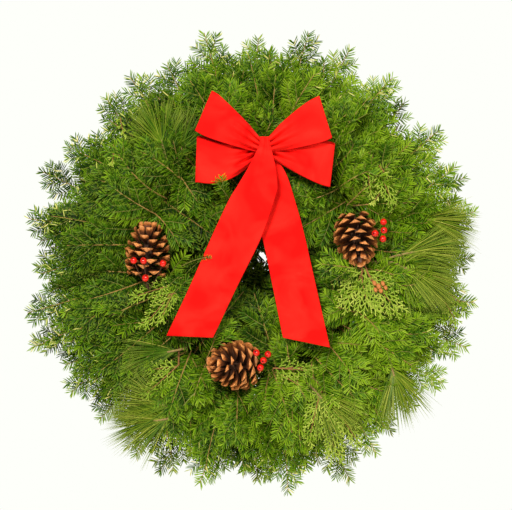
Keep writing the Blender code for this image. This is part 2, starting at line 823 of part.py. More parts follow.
# Each cedar spray: the angle where its stem meets the ring, its route (x, z, y) and the fan's half width.
CEDAR = {
    "right": (
        357.0,
        ((150.0, -8.0, -34.0), (153.0, -14.0, -62.0), (158.0, -52.0, -70.0), (162.0, -92.0, -68.0)),
        42.0,
    ),
    "left": (
        201.0,
        ((-128.0, -36.0, -34.0), (-112.0, -34.0, -62.0), (-132.0, -60.0, -70.0), (-158.0, -90.0, -68.0)),
        20.0,
    ),
    "lower_left": (
        226.5,
        ((-110.0, -122.0, -30.0), (-110.0, -148.0, -62.0), (-134.0, -170.0, -70.0), (-162.0, -193.0, -68.0)),
        18.0,
    ),
    "bottom": (
        271.0,
        ((14.0, -154.0, -22.0), (26.0, -153.0, -58.0), (50.0, -153.0, -70.0), (80.0, -155.0, -68.0)),
        18.0,
    ),
    "lower_right": (
        291.5,
        ((76.0, -158.0, -30.0), (94.0, -178.0, -60.0), (104.0, -225.0, -66.0), (114.0, -276.0, -54.0)),
        30.0,
    ),
    "upper_right": (
        45.0,
        ((136.0, 136.0, -30.0), (162.0, 160.0, -58.0), (182.0, 124.0, -68.0), (197.0, 84.0, -66.0)),
        24.0,
    ),
}

# Each white pine tuft: the same, with half the spread of its needle tips.
PINE = {
    "upper_left": (
        134.0,
        ((-118.0, 124.0, -30.0), (-128.0, 138.0, -54.0), (-130.0, 154.0, -62.0), (-140.0, 236.0, -62.0)),
        38.0,
    ),
    "left": (
        221.5,
        ((-104.0, -112.0, -30.0), (-100.0, -124.0, -54.0), (-112.0, -127.0, -62.0), (-198.0, -141.0, -66.0)),
        17.0,
    ),
    "lower_left": (
        246.0,
        ((-84.0, -176.0, -30.0), (-108.0, -220.0, -54.0), (-122.0, -226.0, -60.0), (-222.0, -256.0, -56.0)),
        28.0,
    ),
    "lower_right": (
        316.5,
        ((138.0, -120.0, -30.0), (186.0, -142.0, -54.0), (198.0, -150.0, -62.0), (212.0, -226.0, -62.0)),
        26.0,
    ),
    "right": (
        1.5,
        ((170.0, 4.0, -30.0), (190.0, 2.0, -52.0), (204.0, -2.0, -60.0), (306.0, -38.0, -52.0)),
        26.0,
    ),
    "far_right": (
        23.5,
        ((178.0, 74.0, -12.0), (236.0, 66.0, -36.0), (250.0, 62.0, -44.0), (326.0, 60.0, -40.0)),
        16.0,
    ),
}
STEM_ROOM = 3.4
STEM_BUTT = 3.0
STEM_FACE = (0.0, 1.0, 0.0)
STEM_R = 1.5
FAN_FLATNESS = 3.4
TUFT_FLATNESS = 2.2
PINE_NEEDLE = 84.0
FROND_PITCH = 13.0


def spray_line(entry):
    angle, places, _ = entry
    depth = -(RING_WIRE_R + GAP + STEM_R)
    butt = [polar(angle - STEM_BUTT, RING_R, depth), polar(angle, RING_R, depth - 0.7)]
    return np.array(butt + [xz(x, z, y) for x, z, y in places])


def stem_points(line):
    """A stem's route with fewer points past its short run along the ring."""
    return np.vstack([line[:2], line[4:-2:3], line[-1:]])


def reserve(space, name, entry, flatness, spread_from):
    """Keeps room for a spray: narrow along its stem, then widening to its tips."""
    line = smooth_path(spray_line(entry), 9.0)
    share = np.linspace(0, 1, len(line))
    widening = np.clip((share - spread_from) / (1 - spread_from), 0, 1) ** 0.8
    radii = STEM_ROOM * flatness + (entry[2] - STEM_ROOM * flatness) * widening
    space.add_room(name, line, np.maximum(radii, STEM_ROOM * flatness), flatness)
    return line


def make_cedar(name, entry, space):
    """A flat fan of cedar: a stem, a middle frond and side fronds cut into leaflets."""
    rng = np.random.default_rng(500 + len(name))
    clear = space.room(f"cedar_{name}")
    line = smooth_path(spray_line(entry), 9.0)
    begin = int(len(line) * 0.5)
    stem = line[: begin + 2]
    frond = smooth_path(line[begin:], FROND_PITCH)
    bunch = Bunch()
    for at, side in ((0.0, 1), (0.1, -1), (0.34, 1), (0.44, -1), (0.62, 1)):
        j = min(len(frond) - 2, int(at * (len(frond) - 1)))
        forward = unit(frond[j + 1] - frond[j])
        across = unit(np.cross(forward, np.array([0.0, -1.0, 0.0]))) * side
        length = (1.12 - at) * entry[2] * 1.35
        middle = frond[j] + (forward * 0.75 + across * 0.66) * length * 0.5
        end = middle + (forward * 0.9 + across * 0.43) * length * 0.5
        branch = trimmed(smooth_path([frond[j], middle, end], FROND_PITCH), clear, 1.0)
        if len(branch) >= 3:
            bunch.add_twig(f"side_{at}", branch)
    bunch.add_twig("main", frond)

    def length_at(share):
        return 15.0 * (1 - 0.45 * share)

    def lean_at(share):
        return 46.0 - 14.0 * share

    needles = (4, length_at, lean_at, (0, 2))
    pieces = [tube(stem_points(stem), STEM_R, 3, STEM_FACE)]
    pieces += [needled_twig(twig, bunch, clear, needles, rng, radius=1.4, flat=1.2) for twig in bunch.twigs]
    # The leaflets start inside their neighbours, and only this solver keeps every one of them closed.
    fused(f"cedar_{name}", pieces, material("cedar_green", CEDAR_GREEN, 0.55), "MANIFOLD")


def make_pine(name, entry, space):
    """A tuft of long pine needles round the end of a stem."""
    rng = np.random.default_rng(700 + len(name))
    clear = space.room(f"pine_{name}")
    route = spray_line(entry)
    line = smooth_path(route[:-1], 9.0)
    tip = unit(route[-1] - route[-2])
    core = np.array([route[-2] - tip * 6.0 + tip * 6.5 * j for j in range(6)])
    stem = stem_points(np.vstack([line[:-1], core[1:2]]))
    along = np.linalg.norm(route[-1] - route[-2])

    def length_at(share):
        return min(PINE_NEEDLE, along * 0.98) * (0.82 + 0.12 * share)

    def lean_at(share):
        return 44.0 - 34.0 * share

    needles = (4, length_at, lean_at, (0, 1, 2, 3))
    bunch = Bunch()
    bunch.add_twig("core", core)
    tuft = needled_twig("core", bunch, clear, needles, rng, radius=2.2, turn=0.3)
    fused(f"pine_{name}", [tube(stem, STEM_R, 3, STEM_FACE), tuft], material("pine_green", PINE_GREEN, 0.5))


BOW_KNOT = xz(12.8, 163.8)
UPPER_LEFT = (xz(-56.8, 242.0), xz(-81.0, 185.1))
UPPER_RIGHT = (xz(86.8, 234.9), xz(105.2, 175.2))
LOWER_LEFT = (xz(-78.1, 176.6), xz(-80.3, 114.1))
LOWER_RIGHT = (xz(109.5, 167.4), xz(102.4, 107.7))
LEFT_TAIL = (
    ((2.9, 177.9), (21.4, 177.9), -111.6, 0.0),
    ((0.0, 164.0), (25.0, 164.0), -112.7, -0.6),
    ((-11.3, 142.5), (31.3, 142.5), -112.7, -1.5),
    ((-36.9, 88.5), (29.9, 95.6), -109.0, -1.5),
    ((-61.1, 37.3), (10.0, 37.3), -103.0, -0.5),
    ((-95.2, -39.5), (-26.2, -36.6), -96.0, 0.5),
    ((-126.5, -104.9), (-59.7, -107.7), -88.0, 0.0),
)
RIGHT_TAIL = (
    ((4.0, 152.0), (29.0, 152.0), -88.6, 0.0),
    ((-4.2, 124.0), (45.5, 124.0), -88.6, 0.8),
    ((-7.1, 81.4), (58.3, 84.2), -89.0, 1.5),
    ((10.0, 35.9), (69.7, 43.0), -90.0, 0.5),
    ((25.6, -36.6), (87.5, -35.2), -89.0, 0.5),
    ((39.8, -107.7), (107.4, -121.9), -84.0, 0.0),
)
TIE_R = 1.0
TIE_ANGLE = 85.0


def tie_line():
    """The tie: from above the ring wire, forward over the pinched loops and back below them."""
    above = polar(TIE_ANGLE, RING_R + RING_WIRE_R + GAP + TIE_R, -0.5)
    below = polar(TIE_ANGLE, RING_R - RING_WIRE_R - GAP - TIE_R, -0.5)
    x, _, z = BOW_KNOT
    return np.array(
        [
            above,
            [x, -60.0, z + 7.0],
            [x, -92.0, z + 10.2],
            [x, -107.0, z + 10.2],
            [x, -110.6, z + 7.0],
            [x, -110.6, z - 7.0],
            [x, -107.0, z - 10.2],
            [x, -92.0, z - 10.2],
            [x, -60.0, z - 12.5],
            below,
        ]
    )


def make_bow():
    make_loops("bow_upper_loops", BOW_KNOT, UPPER_LEFT, UPPER_RIGHT, (-106.5, -101.5, -115.0, -101.5, -105.0))
    make_loops("bow_lower_loops", BOW_KNOT, LOWER_LEFT, LOWER_RIGHT, (-94.5, -90.5, -97.5, -87.5, -92.5))
    make_tail("bow_tail_left", LEFT_TAIL)
    make_tail("bow_tail_right", RIGHT_TAIL)
    points, faces = tube(tie_line(), TIE_R, 5, face=(1.0, 0.0, 0.0))
    add_object("bow_tie_wire", points, faces, material("florist_wire", WIRE_GREEN, 0.4, 0.5))


def keep_clear(space):
    """Tells the foliage where the wires, cones, berries and stems are."""
    space.add_line(binding_line(), BINDING_R)
    space.add_line(tie_line(), TIE_R)
    for cone in CONES.values():
        space.add_line(cone_wire_line(cone), CONE_WIRE_R)
        space.add_solid(cone["centre"], (cone["half"][0] + 1.0, cone["half"][1] + 1.0), cone["axis"])
        for stem in pick_lines(cone):
            space.add_line(stem, PICK_R)
        for x, z, y in cone["berries"]:
            berry = xz(x, z, y)
            space.add_line(np.array([berry, berry + np.array([0.0, 0.1, 0.0])]), BERRY_R)
    for name, entry in CEDAR.items():
        reserve(space, f"cedar_{name}", entry, FAN_FLATNESS, 0.5)
    for name, entry in PINE.items():
        reserve(space, f"pine_{name}", entry, TUFT_FLATNESS, 0.35)


def build():
    clear_scene()
    space = Space()
    keep_clear(space)
    make_ring()
    make_binding(binding_line())
    for number in range(SECTORS):
        front_bunch(number, space)
        back_bunch(number, space)
    for name, entry in CEDAR.items():
        make_cedar(name, entry, space)
    for name, entry in PINE.items():
        make_pine(name, entry, space)
    for name, cone in CONES.items():
        make_cone(name, cone)
        make_cone_wire(name, cone)
        make_berries(name, cone)
    make_bow()


build()
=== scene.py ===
# %% [markdown]
# # A decorated balsam fir wreath
#
# The wreath is made by hand from evergreen tips: bunches of balsam fir are wired to a ring of steel
# wire, then cedar sprays, white pine tufts, pine cones, berry picks and a velvet bow are added on top.
# The frame holds the coarse solids of every one of these pieces. This script keeps their places and
# gives them the fine needles, scales and folds of the real ones.

import math

import bmesh
import bpy
import numpy as np
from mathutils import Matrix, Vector


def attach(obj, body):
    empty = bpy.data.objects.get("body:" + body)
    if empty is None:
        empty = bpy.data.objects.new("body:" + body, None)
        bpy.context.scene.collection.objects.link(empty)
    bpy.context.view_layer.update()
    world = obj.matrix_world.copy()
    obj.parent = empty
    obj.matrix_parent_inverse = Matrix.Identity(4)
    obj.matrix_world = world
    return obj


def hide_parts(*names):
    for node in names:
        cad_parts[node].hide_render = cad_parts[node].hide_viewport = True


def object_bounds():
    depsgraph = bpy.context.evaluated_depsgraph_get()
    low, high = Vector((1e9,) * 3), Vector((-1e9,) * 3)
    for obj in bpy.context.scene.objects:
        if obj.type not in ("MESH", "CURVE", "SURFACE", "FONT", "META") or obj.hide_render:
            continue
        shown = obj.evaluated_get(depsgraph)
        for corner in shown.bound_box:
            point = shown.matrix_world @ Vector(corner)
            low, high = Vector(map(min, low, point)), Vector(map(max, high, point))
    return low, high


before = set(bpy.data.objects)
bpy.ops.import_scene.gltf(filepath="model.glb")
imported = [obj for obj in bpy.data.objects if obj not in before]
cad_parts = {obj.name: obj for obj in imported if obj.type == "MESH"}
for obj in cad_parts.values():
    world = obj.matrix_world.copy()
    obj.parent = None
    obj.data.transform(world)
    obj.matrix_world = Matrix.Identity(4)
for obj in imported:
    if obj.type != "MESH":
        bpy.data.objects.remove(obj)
cad_low, cad_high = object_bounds()
LOW, HIGH = np.array(cad_low), np.array(cad_high)
print("frame box in mm", np.round(LOW * 1000), np.round(HIGH * 1000))

# %% [markdown]
# ## Places on the wreath
#
# A wreath is round, so most places on it are easiest to say as an angle and a radius from the middle of
# the wire ring, with a depth in front of it. The origin of the frame is where the nail bears, inside the
# top of the ring, so the middle of the ring lies one ring radius below it. Depths are along Y, and the
# viewer is on the -Y side.

# %% Millimetres, angles and the ring
MM = 0.001
RING_R = 152.4
RING_WIRE_R = 2.4
RING_Z = -(RING_R - RING_WIRE_R)
SECTORS = 16
SECTOR_ANGLE = 360.0 / SECTORS
FRONT_Y = -80.0
BACK_Y = 30.0
TOWARDS_VIEWER = np.array([0.0, -1.0, 0.0])
IN_PLANE = np.array([1.0, 0.0, 1.0])


def polar(angle, radius, depth):
    """A point in millimetres at an angle and radius on the wreath, seen from the front."""
    a = math.radians(angle)
    return np.array([radius * math.cos(a), depth, RING_Z + radius * math.sin(a)])


def xz(x, z, y=0.0):
    """A point in millimetres from its place relative to the ring's middle, and its depth."""
    return np.array([x, y, RING_Z + z])


def unit(v):
    v = np.asarray(v, float)
    return v / np.maximum(np.linalg.norm(v, axis=-1, keepdims=True), 1e-9)


def node_points(name):
    """The corners of one solid of the frame, in millimetres."""
    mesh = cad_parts[name].data
    flat = np.empty(len(mesh.vertices) * 3)
    mesh.vertices.foreach_get("co", flat)
    matrix = np.array(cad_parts[name].matrix_world)
    return (flat.reshape(-1, 3) @ matrix[:3, :3].T + matrix[:3, 3]) / MM


print("middle of the ring", polar(0, 0, 0))

# %% [markdown]
# ## Colours and nodes
#
# Colours are written as sRGB hex values, the way a paint chip or a picture editor gives them, and one
# function turns them into the linear values that a render needs. Every material below is a small node
# tree, and one function adds a node with its settings and links. What most finishes need gets a function
# too: a scale of tints to pick from, a second colour laid over the first, and an uneven grain.

# %% Colour and node helpers
def linear(hex_colour):
    """An sRGB hex colour as linear RGBA."""
    values = [int(hex_colour[i : i + 2], 16) / 255 for i in (1, 3, 5)]
    return [v / 12.92 if v <= 0.04045 else ((v + 0.055) / 1.055) ** 2.4 for v in values] + [1.0]


def set_inputs(tree, node, inputs):
    """Gives each named input of a node the output that feeds it, a value or a hex colour."""
    for key, value in inputs.items():
        if isinstance(value, bpy.types.NodeSocket):
            tree.links.new(value, node.inputs[key])
        else:
            node.inputs[key].default_value = linear(value) if isinstance(value, str) else value


def add_node(tree, kind, inputs=None, **settings):
    """Adds a node with its settings, its links and the values of its inputs."""
    node = tree.nodes.new(kind)
    for key, value in settings.items():
        setattr(node, key, value)
    set_inputs(tree, node, inputs or {})
    return node


def new_material(name):
    """An empty Principled material, and its tree and shader."""
    made = bpy.data.materials.new(name)
    made.use_nodes = True
    return made, made.node_tree, made.node_tree.nodes["Principled BSDF"]


def pick_tint(tree, stops, source, low=0.0, high=1.0):
    """A colour from a scale of (place, hex colour) stops, picked by a source that runs from low to high."""
    place = add_node(tree, "ShaderNodeMapRange", {"Value": source, "From Min": low, "From Max": high})
    scale = add_node(tree, "ShaderNodeValToRGB", {"Fac": place.outputs["Result"]})
    elements = scale.color_ramp.elements
    while len(elements) < len(stops):
        elements.new(0.5)
    for element, (position, colour) in zip(elements, stops):
        element.position = position
        element.color = linear(colour)
    return scale.outputs["Color"]


def lay_over(tree, colour, coat, source, low=0.0, high=1.0):
    """Lays a coat over a colour: none of it where the source is low, all of it where the source is high."""
    share = add_node(tree, "ShaderNodeMapRange", {"Value": source, "From Min": low, "From Max": high})
    mix = add_node(tree, "ShaderNodeMix", {0: share.outputs["Result"], 6: colour, 7: coat}, data_type="RGBA")
    return mix.outputs[2]


def uneven(tree, apart, detail, distortion=0.0):
    """Light and dark patches that many millimetres apart, fixed to the piece."""
    place = add_node(tree, "ShaderNodeTexCoord").outputs["Object"]
    values = {"Vector": place, "Scale": 1 / (apart * MM), "Detail": detail, "Distortion": distortion}
    return add_node(tree, "ShaderNodeTexNoise", values).outputs["Fac"]


print("mid green in linear light", [round(v, 3) for v in linear("#4a7a20")])

# %% [markdown]
# ## Needles by the ten thousand
#
# A balsam needle is a flat blade 12 to 25 mm long and under 2 mm wide, with a dark upper side and two pale
# stripes below. Particles or instances would draw them cheaply, but then the model would not hold their
# shape. So each needle is five points: a blade with straight sides and a pointed tip, with its root in the
# twig. Its thickness, half a millimetre, is too little to see. NumPy makes all of a bunch's needles at once.
#
# Each face is given its place on a small map: along the needle in one direction, and its tint in the
# other, with the upper sides, the undersides and the bark in rows of their own. The material then
# colours the needles from that map alone.

# %% Batches of faces
UPPER_ROW = (0.02, 0.38)
LOWER_ROW = (0.42, 0.78)
BARK_ROW = (0.84, 0.98)
ROW_HALF = 0.012
MAP_NAME = "OFBake"
# Along the map a needle's root, shoulder and tip have these places. Its root has this share of its width.
NEEDLE_PLACES = (0.03, 0.7, 0.97)
ROOT_WIDTH = 0.8


def row_place(row, share):
    return row[0] + (row[1] - row[0]) * np.asarray(share)


def inset(share):
    """A share along a piece as its place on the map, a little in from the edges."""
    return share * 0.94 + 0.03


def row_sides(row, signs):
    """The rows of a face's corners, a little to either side of its own row, so it has room on the map."""
    return row[:, None] + ROW_HALF * np.asarray(signs)[None]


def blades(roots, mids, tips, normals, widths, tints, turned):
    """Points and batches for many needles, each from its root through its shoulder to its tip."""
    side = unit(np.cross(unit(tips - roots), normals))
    half = side * widths[:, None] / 2
    corners = [roots - half * ROOT_WIDTH, roots + half * ROOT_WIDTH, mids + half, mids - half, tips]
    first = (np.arange(len(roots)) * len(corners))[:, None]
    row = np.where(turned, row_place(LOWER_ROW, tints), row_place(UPPER_ROW, tints))
    root, shoulder, tip = NEEDLE_PLACES
    batches = []
    for face, stations, signs in (
        ((0, 1, 2, 3), (root, root, shoulder, shoulder), (-1, 1, 1, -1)),
        ((3, 2, 4), (shoulder, shoulder, tip), (-1, 1, 0)),
    ):
        faces = first + np.array(face)[None]
        along = np.broadcast_to(stations, faces.shape)
        batches.append((faces, np.stack([along, row_sides(row, signs)], 2), 0))
    return np.stack(corners, axis=1).reshape(-1, 3), batches


def rings(path, front, side, radii, sides):
    """Rings of points round a path, which start at the front of each ring."""
    angles = np.arange(sides) * 2 * math.pi / sides
    ring = np.cos(angles)[None, :, None] * front[:, None] + np.sin(angles)[None, :, None] * side[:, None]
    return (path[:, None] + ring * np.asarray(radii)[:, None, None]).reshape(-1, 3)


def skin(rows, sides):
    """The faces over a stack of closed rows of points, with each corner's row and its place in the row."""
    j, k = np.meshgrid(np.arange(rows - 1), np.arange(sides), indexing="ij")
    a, b = j * sides + k, j * sides + (k + 1) % sides
    return [np.stack(corners, 2).reshape(-1, 4)
            for corners in ([a, b, b + sides, a + sides], [j, j, j + 1, j + 1], [k, k + 1, k + 1, k])]


def end_faces(rows, sides):
    """The two faces that close such a stack."""
    return np.array([np.arange(sides)[::-1], np.arange(sides) + (rows - 1) * sides])


def tube_batch(path, radii, face, row, rng, sides=5, slot=1):
    """A batch for one round stem along a path, closed at both ends."""
    along = unit(np.gradient(path, axis=0))
    front = unit(face - along * (along @ face)[:, None])
    points = rings(path, front, np.cross(along, front), radii, sides)
    faces, up, around = skin(len(path), sides)
    start = rng.uniform(0.0, 0.3)
    lengthwise = start + 0.6 * up / (len(path) - 1)
    middle = np.tile([start, row_place(row, 0.5)], (2, sides, 1))
    sides_batch = (faces, np.stack([lengthwise, row_place(row, around / sides)], 2), slot)
    return points, [sides_batch, (end_faces(len(path), sides), middle, slot)]


def mesh_object(name, parts, materials, smooth=False):
    """One object from (points, batches) parts, given in millimetres, with its map."""
    points, corners, counts, places, slots = [], [], [], [], []
    offset = 0
    for part_points, batches in parts:
        for faces, face_places, slot in batches:
            corners.append((faces + offset).ravel())
            counts.append(np.full(len(faces), faces.shape[1]))
            places.append(np.asarray(face_places, float).reshape(-1, 2))
            slots.append(np.full(len(faces), slot))
        points.append(part_points)
        offset += len(part_points)
    points = np.concatenate(points) * MM
    corners, counts = np.concatenate(corners), np.concatenate(counts)
    mesh = bpy.data.meshes.new(name)
    mesh.vertices.add(len(points))
    mesh.vertices.foreach_set("co", points.ravel())
    mesh.loops.add(len(corners))
    mesh.loops.foreach_set("vertex_index", corners.astype(np.int32))
    mesh.polygons.add(len(counts))
    mesh.polygons.foreach_set("loop_start", np.concatenate([[0], np.cumsum(counts)[:-1]]).astype(np.int32))
    mesh.polygons.foreach_set("material_index", np.concatenate(slots).astype(np.int32))
    mesh.polygons.foreach_set("use_smooth", np.full(len(counts), smooth))
    layer = mesh.uv_layers.new(name=MAP_NAME)
    layer.data.foreach_set("uv", np.concatenate(places).ravel())
    mesh.update(calc_edges=True)
    mesh.validate()
    made = bpy.data.objects.new(name, mesh)
    for material in materials:
        made.data.materials.append(material)
    bpy.context.scene.collection.objects.link(made)
    return made


def add_piece(name, parts, materials, node=None, smooth=False):
    """A piece that rides on the wreath, takes a slot's finish and, where a node is given, stands for it."""
    piece = mesh_object(name, parts, materials, smooth)
    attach(piece, "root")
    if node:
        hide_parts(node)
    return piece


def triangles_in(thing):
    return sum(len(face.vertices) - 2 for face in thing.data.polygons)


print("rows of the map", UPPER_ROW, LOWER_ROW, BARK_ROW)

# %% [markdown]
# ## What the needles keep clear of
#
# On the real wreath the cones and berries are pushed down into the fir, and the needles in front of them
# are brushed aside. So a needle is left out where it would stand inside a cone or between a cone and
# the viewer, in the hole in the middle, or beyond the box that the frame's solids fill.

# %% Clear space
CONES = {
    "left": (xz(-155.0, 12.0, -56.0), (0.05, -0.20, 1.0), (43.0, 33.0)),
    "right": (xz(146.0, 36.0, -56.0), (0.10, -0.55, -0.80), (40.0, 32.0)),
    "bottom": (xz(-27.5, -149.0, -56.0), (-0.75, -0.60, 0.12), (38.0, 35.0)),
}
BERRY_R = 4.9
BERRIES = {
    "left": ((-173.0, 2.5, -92.0), (-158.5, 2.0, -97.0), (-131.0, -1.5, -91.0), (-156.0, -22.5, -93.0)),
    "right": ((184.0, 57.5, -80.0), (171.0, 41.0, -96.0), (184.0, 45.5, -90.0), (183.0, 33.5, -82.0)),
    "bottom": ((2.0, -129.0, -92.0), (18.5, -131.5, -84.0), (12.0, -140.0, -92.0), (8.0, -150.5, -88.0)),
}
BOX_MARGIN = 0.5
# Needles keep this far from a berry's outline, down to this depth behind its middle.
BERRY_CLEAR, BERRY_BEHIND = 3.0, 14.0
# They keep off this share of a cone's outline where they are this far in front of its middle.
CONE_CLEAR, CONE_AHEAD = 0.9, -6.0
# Between the bow's tails the hole is open in front of this depth. Behind it the wall shows in a small gap.
HOLE_BACK_Y = -4.0
HOLE, HOLE_R = (6.0, 0.0), 26.0
GAP, GAP_R = (11.0, 8.0), 5.5


def cone_distance(away, axis, half):
    """How far points lie from a cone's middle, as a share of the cone's own size in that direction."""
    along = away @ axis
    across = np.linalg.norm(away - along[:, None] * axis, axis=1)
    return np.hypot(along / half[0], across / half[1])


def inside_cone(points):
    """True for points inside a cone or in front of its middle."""
    found = np.zeros(len(points), bool)
    for centre, axis, half in CONES.values():
        away, axis = points - centre, unit(axis)
        found |= cone_distance(away, axis, half) < 1.0
        found |= (cone_distance(away * IN_PLANE, axis, half) < CONE_CLEAR) & (away[:, 1] < CONE_AHEAD)
    return found


def seen_within(points, place, radius):
    """True for points that lie, seen from the front, within a circle."""
    x, z = place
    return np.hypot(points[:, 0] - x, points[:, 2] - (RING_Z + z)) < radius


def near_berry(points):
    """True for points close to a berry or in front of it."""
    found = np.zeros(len(points), bool)
    for places in BERRIES.values():
        for x, z, y in places:
            flat = np.hypot(points[:, 0] - x, points[:, 2] - RING_Z - z)
            found |= (flat < BERRY_R + BERRY_CLEAR) & (points[:, 1] < y + BERRY_BEHIND)
    return found


def is_free(points, low_y=FRONT_Y, high_y=BACK_Y):
    """True for points where a needle or a twig may be."""
    blocked = inside_cone(points) | near_berry(points)
    in_front = points[:, 1] < HOLE_BACK_Y
    blocked |= np.where(in_front, seen_within(points, HOLE, HOLE_R), seen_within(points, GAP, GAP_R))
    blocked |= (points[:, 1] < low_y) | (points[:, 1] > high_y)
    low, high = LOW / MM + BOX_MARGIN, HIGH / MM - BOX_MARGIN
    return ~blocked & (points > low).all(1) & (points < high).all(1)


print("free at the ring's middle:", bool(is_free(polar(0, 0, 0)[None])[0]))

# %% [markdown]
# ## How a fir spray grows
#
# A fir branchlet is flat: a main twig with side twigs in one plane, which get shorter towards the tip, and
# the longer side twigs branch again. Needles stand on both sides of every twig like the teeth of a
# comb, with shorter ones on top that lean forward. One function grows the twigs of a spray, and another
# sets the needles on them.

# %% Sprays and their needles
TWIG_STEP = 8.0
# A needle's length and width, and the distance from one to the next on the same side of the twig.
FINE = (14.0, 1.5, 2.6)
COARSE = (18.0, 2.3, 3.4)
# At the rim the tips are a little paler, and some needles, which the light strikes flat, look cream.
FOLIAGE_R, RIM_FROM, RIM_DEEP, RIM_LIGHTER, RIM_LIT = 300.0, 250.0, 60.0, 0.04, 0.14
# Painted light: the needles are paler on the wreath's right side and low down, where more light falls, and
# darker on its left. A few needles turn their underside to the front.
RIGHT_PAINTED_LIGHT, LOW_PAINTED_LIGHT, TURNED = 0.19, 0.13, 0.08
# Over the last stretch of a twig the needles close round its bud, and they are paler there.
BUD_STRETCH, BUD_CLOSES, BUD_LIGHTER = 12.0, 30.0, 0.2
# No needle that isn't lit is paler than this tint.
PALEST = 0.76
# How needles stand round the twig: degrees, share of the length, lean, and how much thinner the rank is.
RANKS = ((4.0, 1.0, 64.0, 1.0), (176.0, 1.0, 64.0, 1.0), (34.0, 0.8, 52.0, 3.0), (146.0, 0.8, 52.0, 3.0))
# A spray's main twig has this radius, and the twigs that branch from it have these shares of it.
TWIG_R, TWIG_SHARES = 1.2, (1.0, 0.55, 0.42)
# A spray's face turns this much at random. Its side twigs stand this far apart, and those up to this
# length have young, green bark.
SPRAY_TURN = 0.32
TWIG_SPACING, YOUNG_UP_TO = 11.5, 60.0
# Side twigs from this length bear finer ones: their spacing, their share of its length, and where they begin.
BRANCHED_FROM, FINER_SPACING, FINER_REACH, FINER_FROM = 58.0, 24.0, 0.34, 0.4
# Between a twig and its side twig, in degrees.
FORK = (38, 50)


def curve_through(start, middle, end, step=TWIG_STEP):
    """Points on a smooth curve that starts, passes near the middle and ends."""
    count = max(3, int(np.linalg.norm(end - start) / step) + 2)
    t = np.linspace(0, 1, count)[:, None]
    return (1 - t) ** 2 * start + 2 * t * (1 - t) * middle + t**2 * end


def cut_where_blocked(path):
    """The path up to the first place that isn't free."""
    blocked = np.flatnonzero(~is_free(path))
    return path[: blocked[0]] if len(blocked) else path


def side_twigs(path, face, reach, rng, spacing, first=0.12):
    """The paths of a twig's side twigs, which alternate left and right from the first share of its length."""
    length = np.linalg.norm(np.diff(path, axis=0), axis=1).sum()
    found = []
    side = 1 if rng.random() < 0.5 else -1
    share = first
    while share < 0.9 and length > 0:
        j = min(len(path) - 2, int(share * (len(path) - 1)))
        forward = unit(path[j + 1] - path[j])
        across = unit(np.cross(forward, face)) * side
        angle = math.radians(rng.uniform(*FORK))
        out = unit(forward * math.cos(angle) + across * math.sin(angle) + face * rng.uniform(-0.16, 0.12))
        long = reach * (1.0 - share) * rng.uniform(0.85, 1.1) + 16.0
        end = path[j] + out * long * 0.84 + forward * long * 0.16
        found.append(curve_through(path[j], path[j] + out * long * 0.5, end))
        side = -side
        share += spacing / length * rng.uniform(0.8, 1.2)
    return found


def grow_spray(start, middle, end, rng, fullness):
    """The twigs of one flat spray as (path, order), where the main twig is order 0, and the way it faces."""
    face = unit(TOWARDS_VIEWER + rng.normal(0, SPRAY_TURN, 3))
    main = cut_where_blocked(curve_through(start, middle, end))
    if len(main) < 3:
        return [], face
    length = np.linalg.norm(end - start)
    twigs = [(main, 0)]
    for path in side_twigs(main, face, length * fullness, rng, TWIG_SPACING):
        path = cut_where_blocked(path)
        if len(path) < 3:
            continue
        twigs.append((path, 1))
        long = np.linalg.norm(path[-1] - path[0])
        if long > BRANCHED_FROM:
            for finer in side_twigs(path, face, long * FINER_REACH, rng, FINER_SPACING, FINER_FROM):
                finer = cut_where_blocked(finer)
                if len(finer) > 2:
                    twigs.append((finer, 2))
    return twigs, face


def needle_tints(root, tint, closing, rng):
    """The tint of each needle, from its twig's own tint, with painted light by its place on the wreath."""
    count = len(root)
    outside = np.clip((np.hypot(root[:, 0], root[:, 2] - RING_Z) - RIM_FROM) / RIM_DEEP, 0, 1)
    # Painted light: the tint rises towards the wreath's right side and low down.
    place = RIGHT_PAINTED_LIGHT * (root[:, 0] / FOLIAGE_R - 0.35)
    place += LOW_PAINTED_LIGHT * np.clip((RING_Z - root[:, 2]) / FOLIAGE_R, 0, 1)
    own = tint + rng.normal(0, 0.10, count) + BUD_LIGHTER * closing + RIM_LIGHTER * outside + place
    lit = rng.random(count) < RIM_LIT * outside**2
    return np.clip(np.where(lit, rng.uniform(0.8, 1.0, count), np.minimum(own, PALEST)), 0, 1)


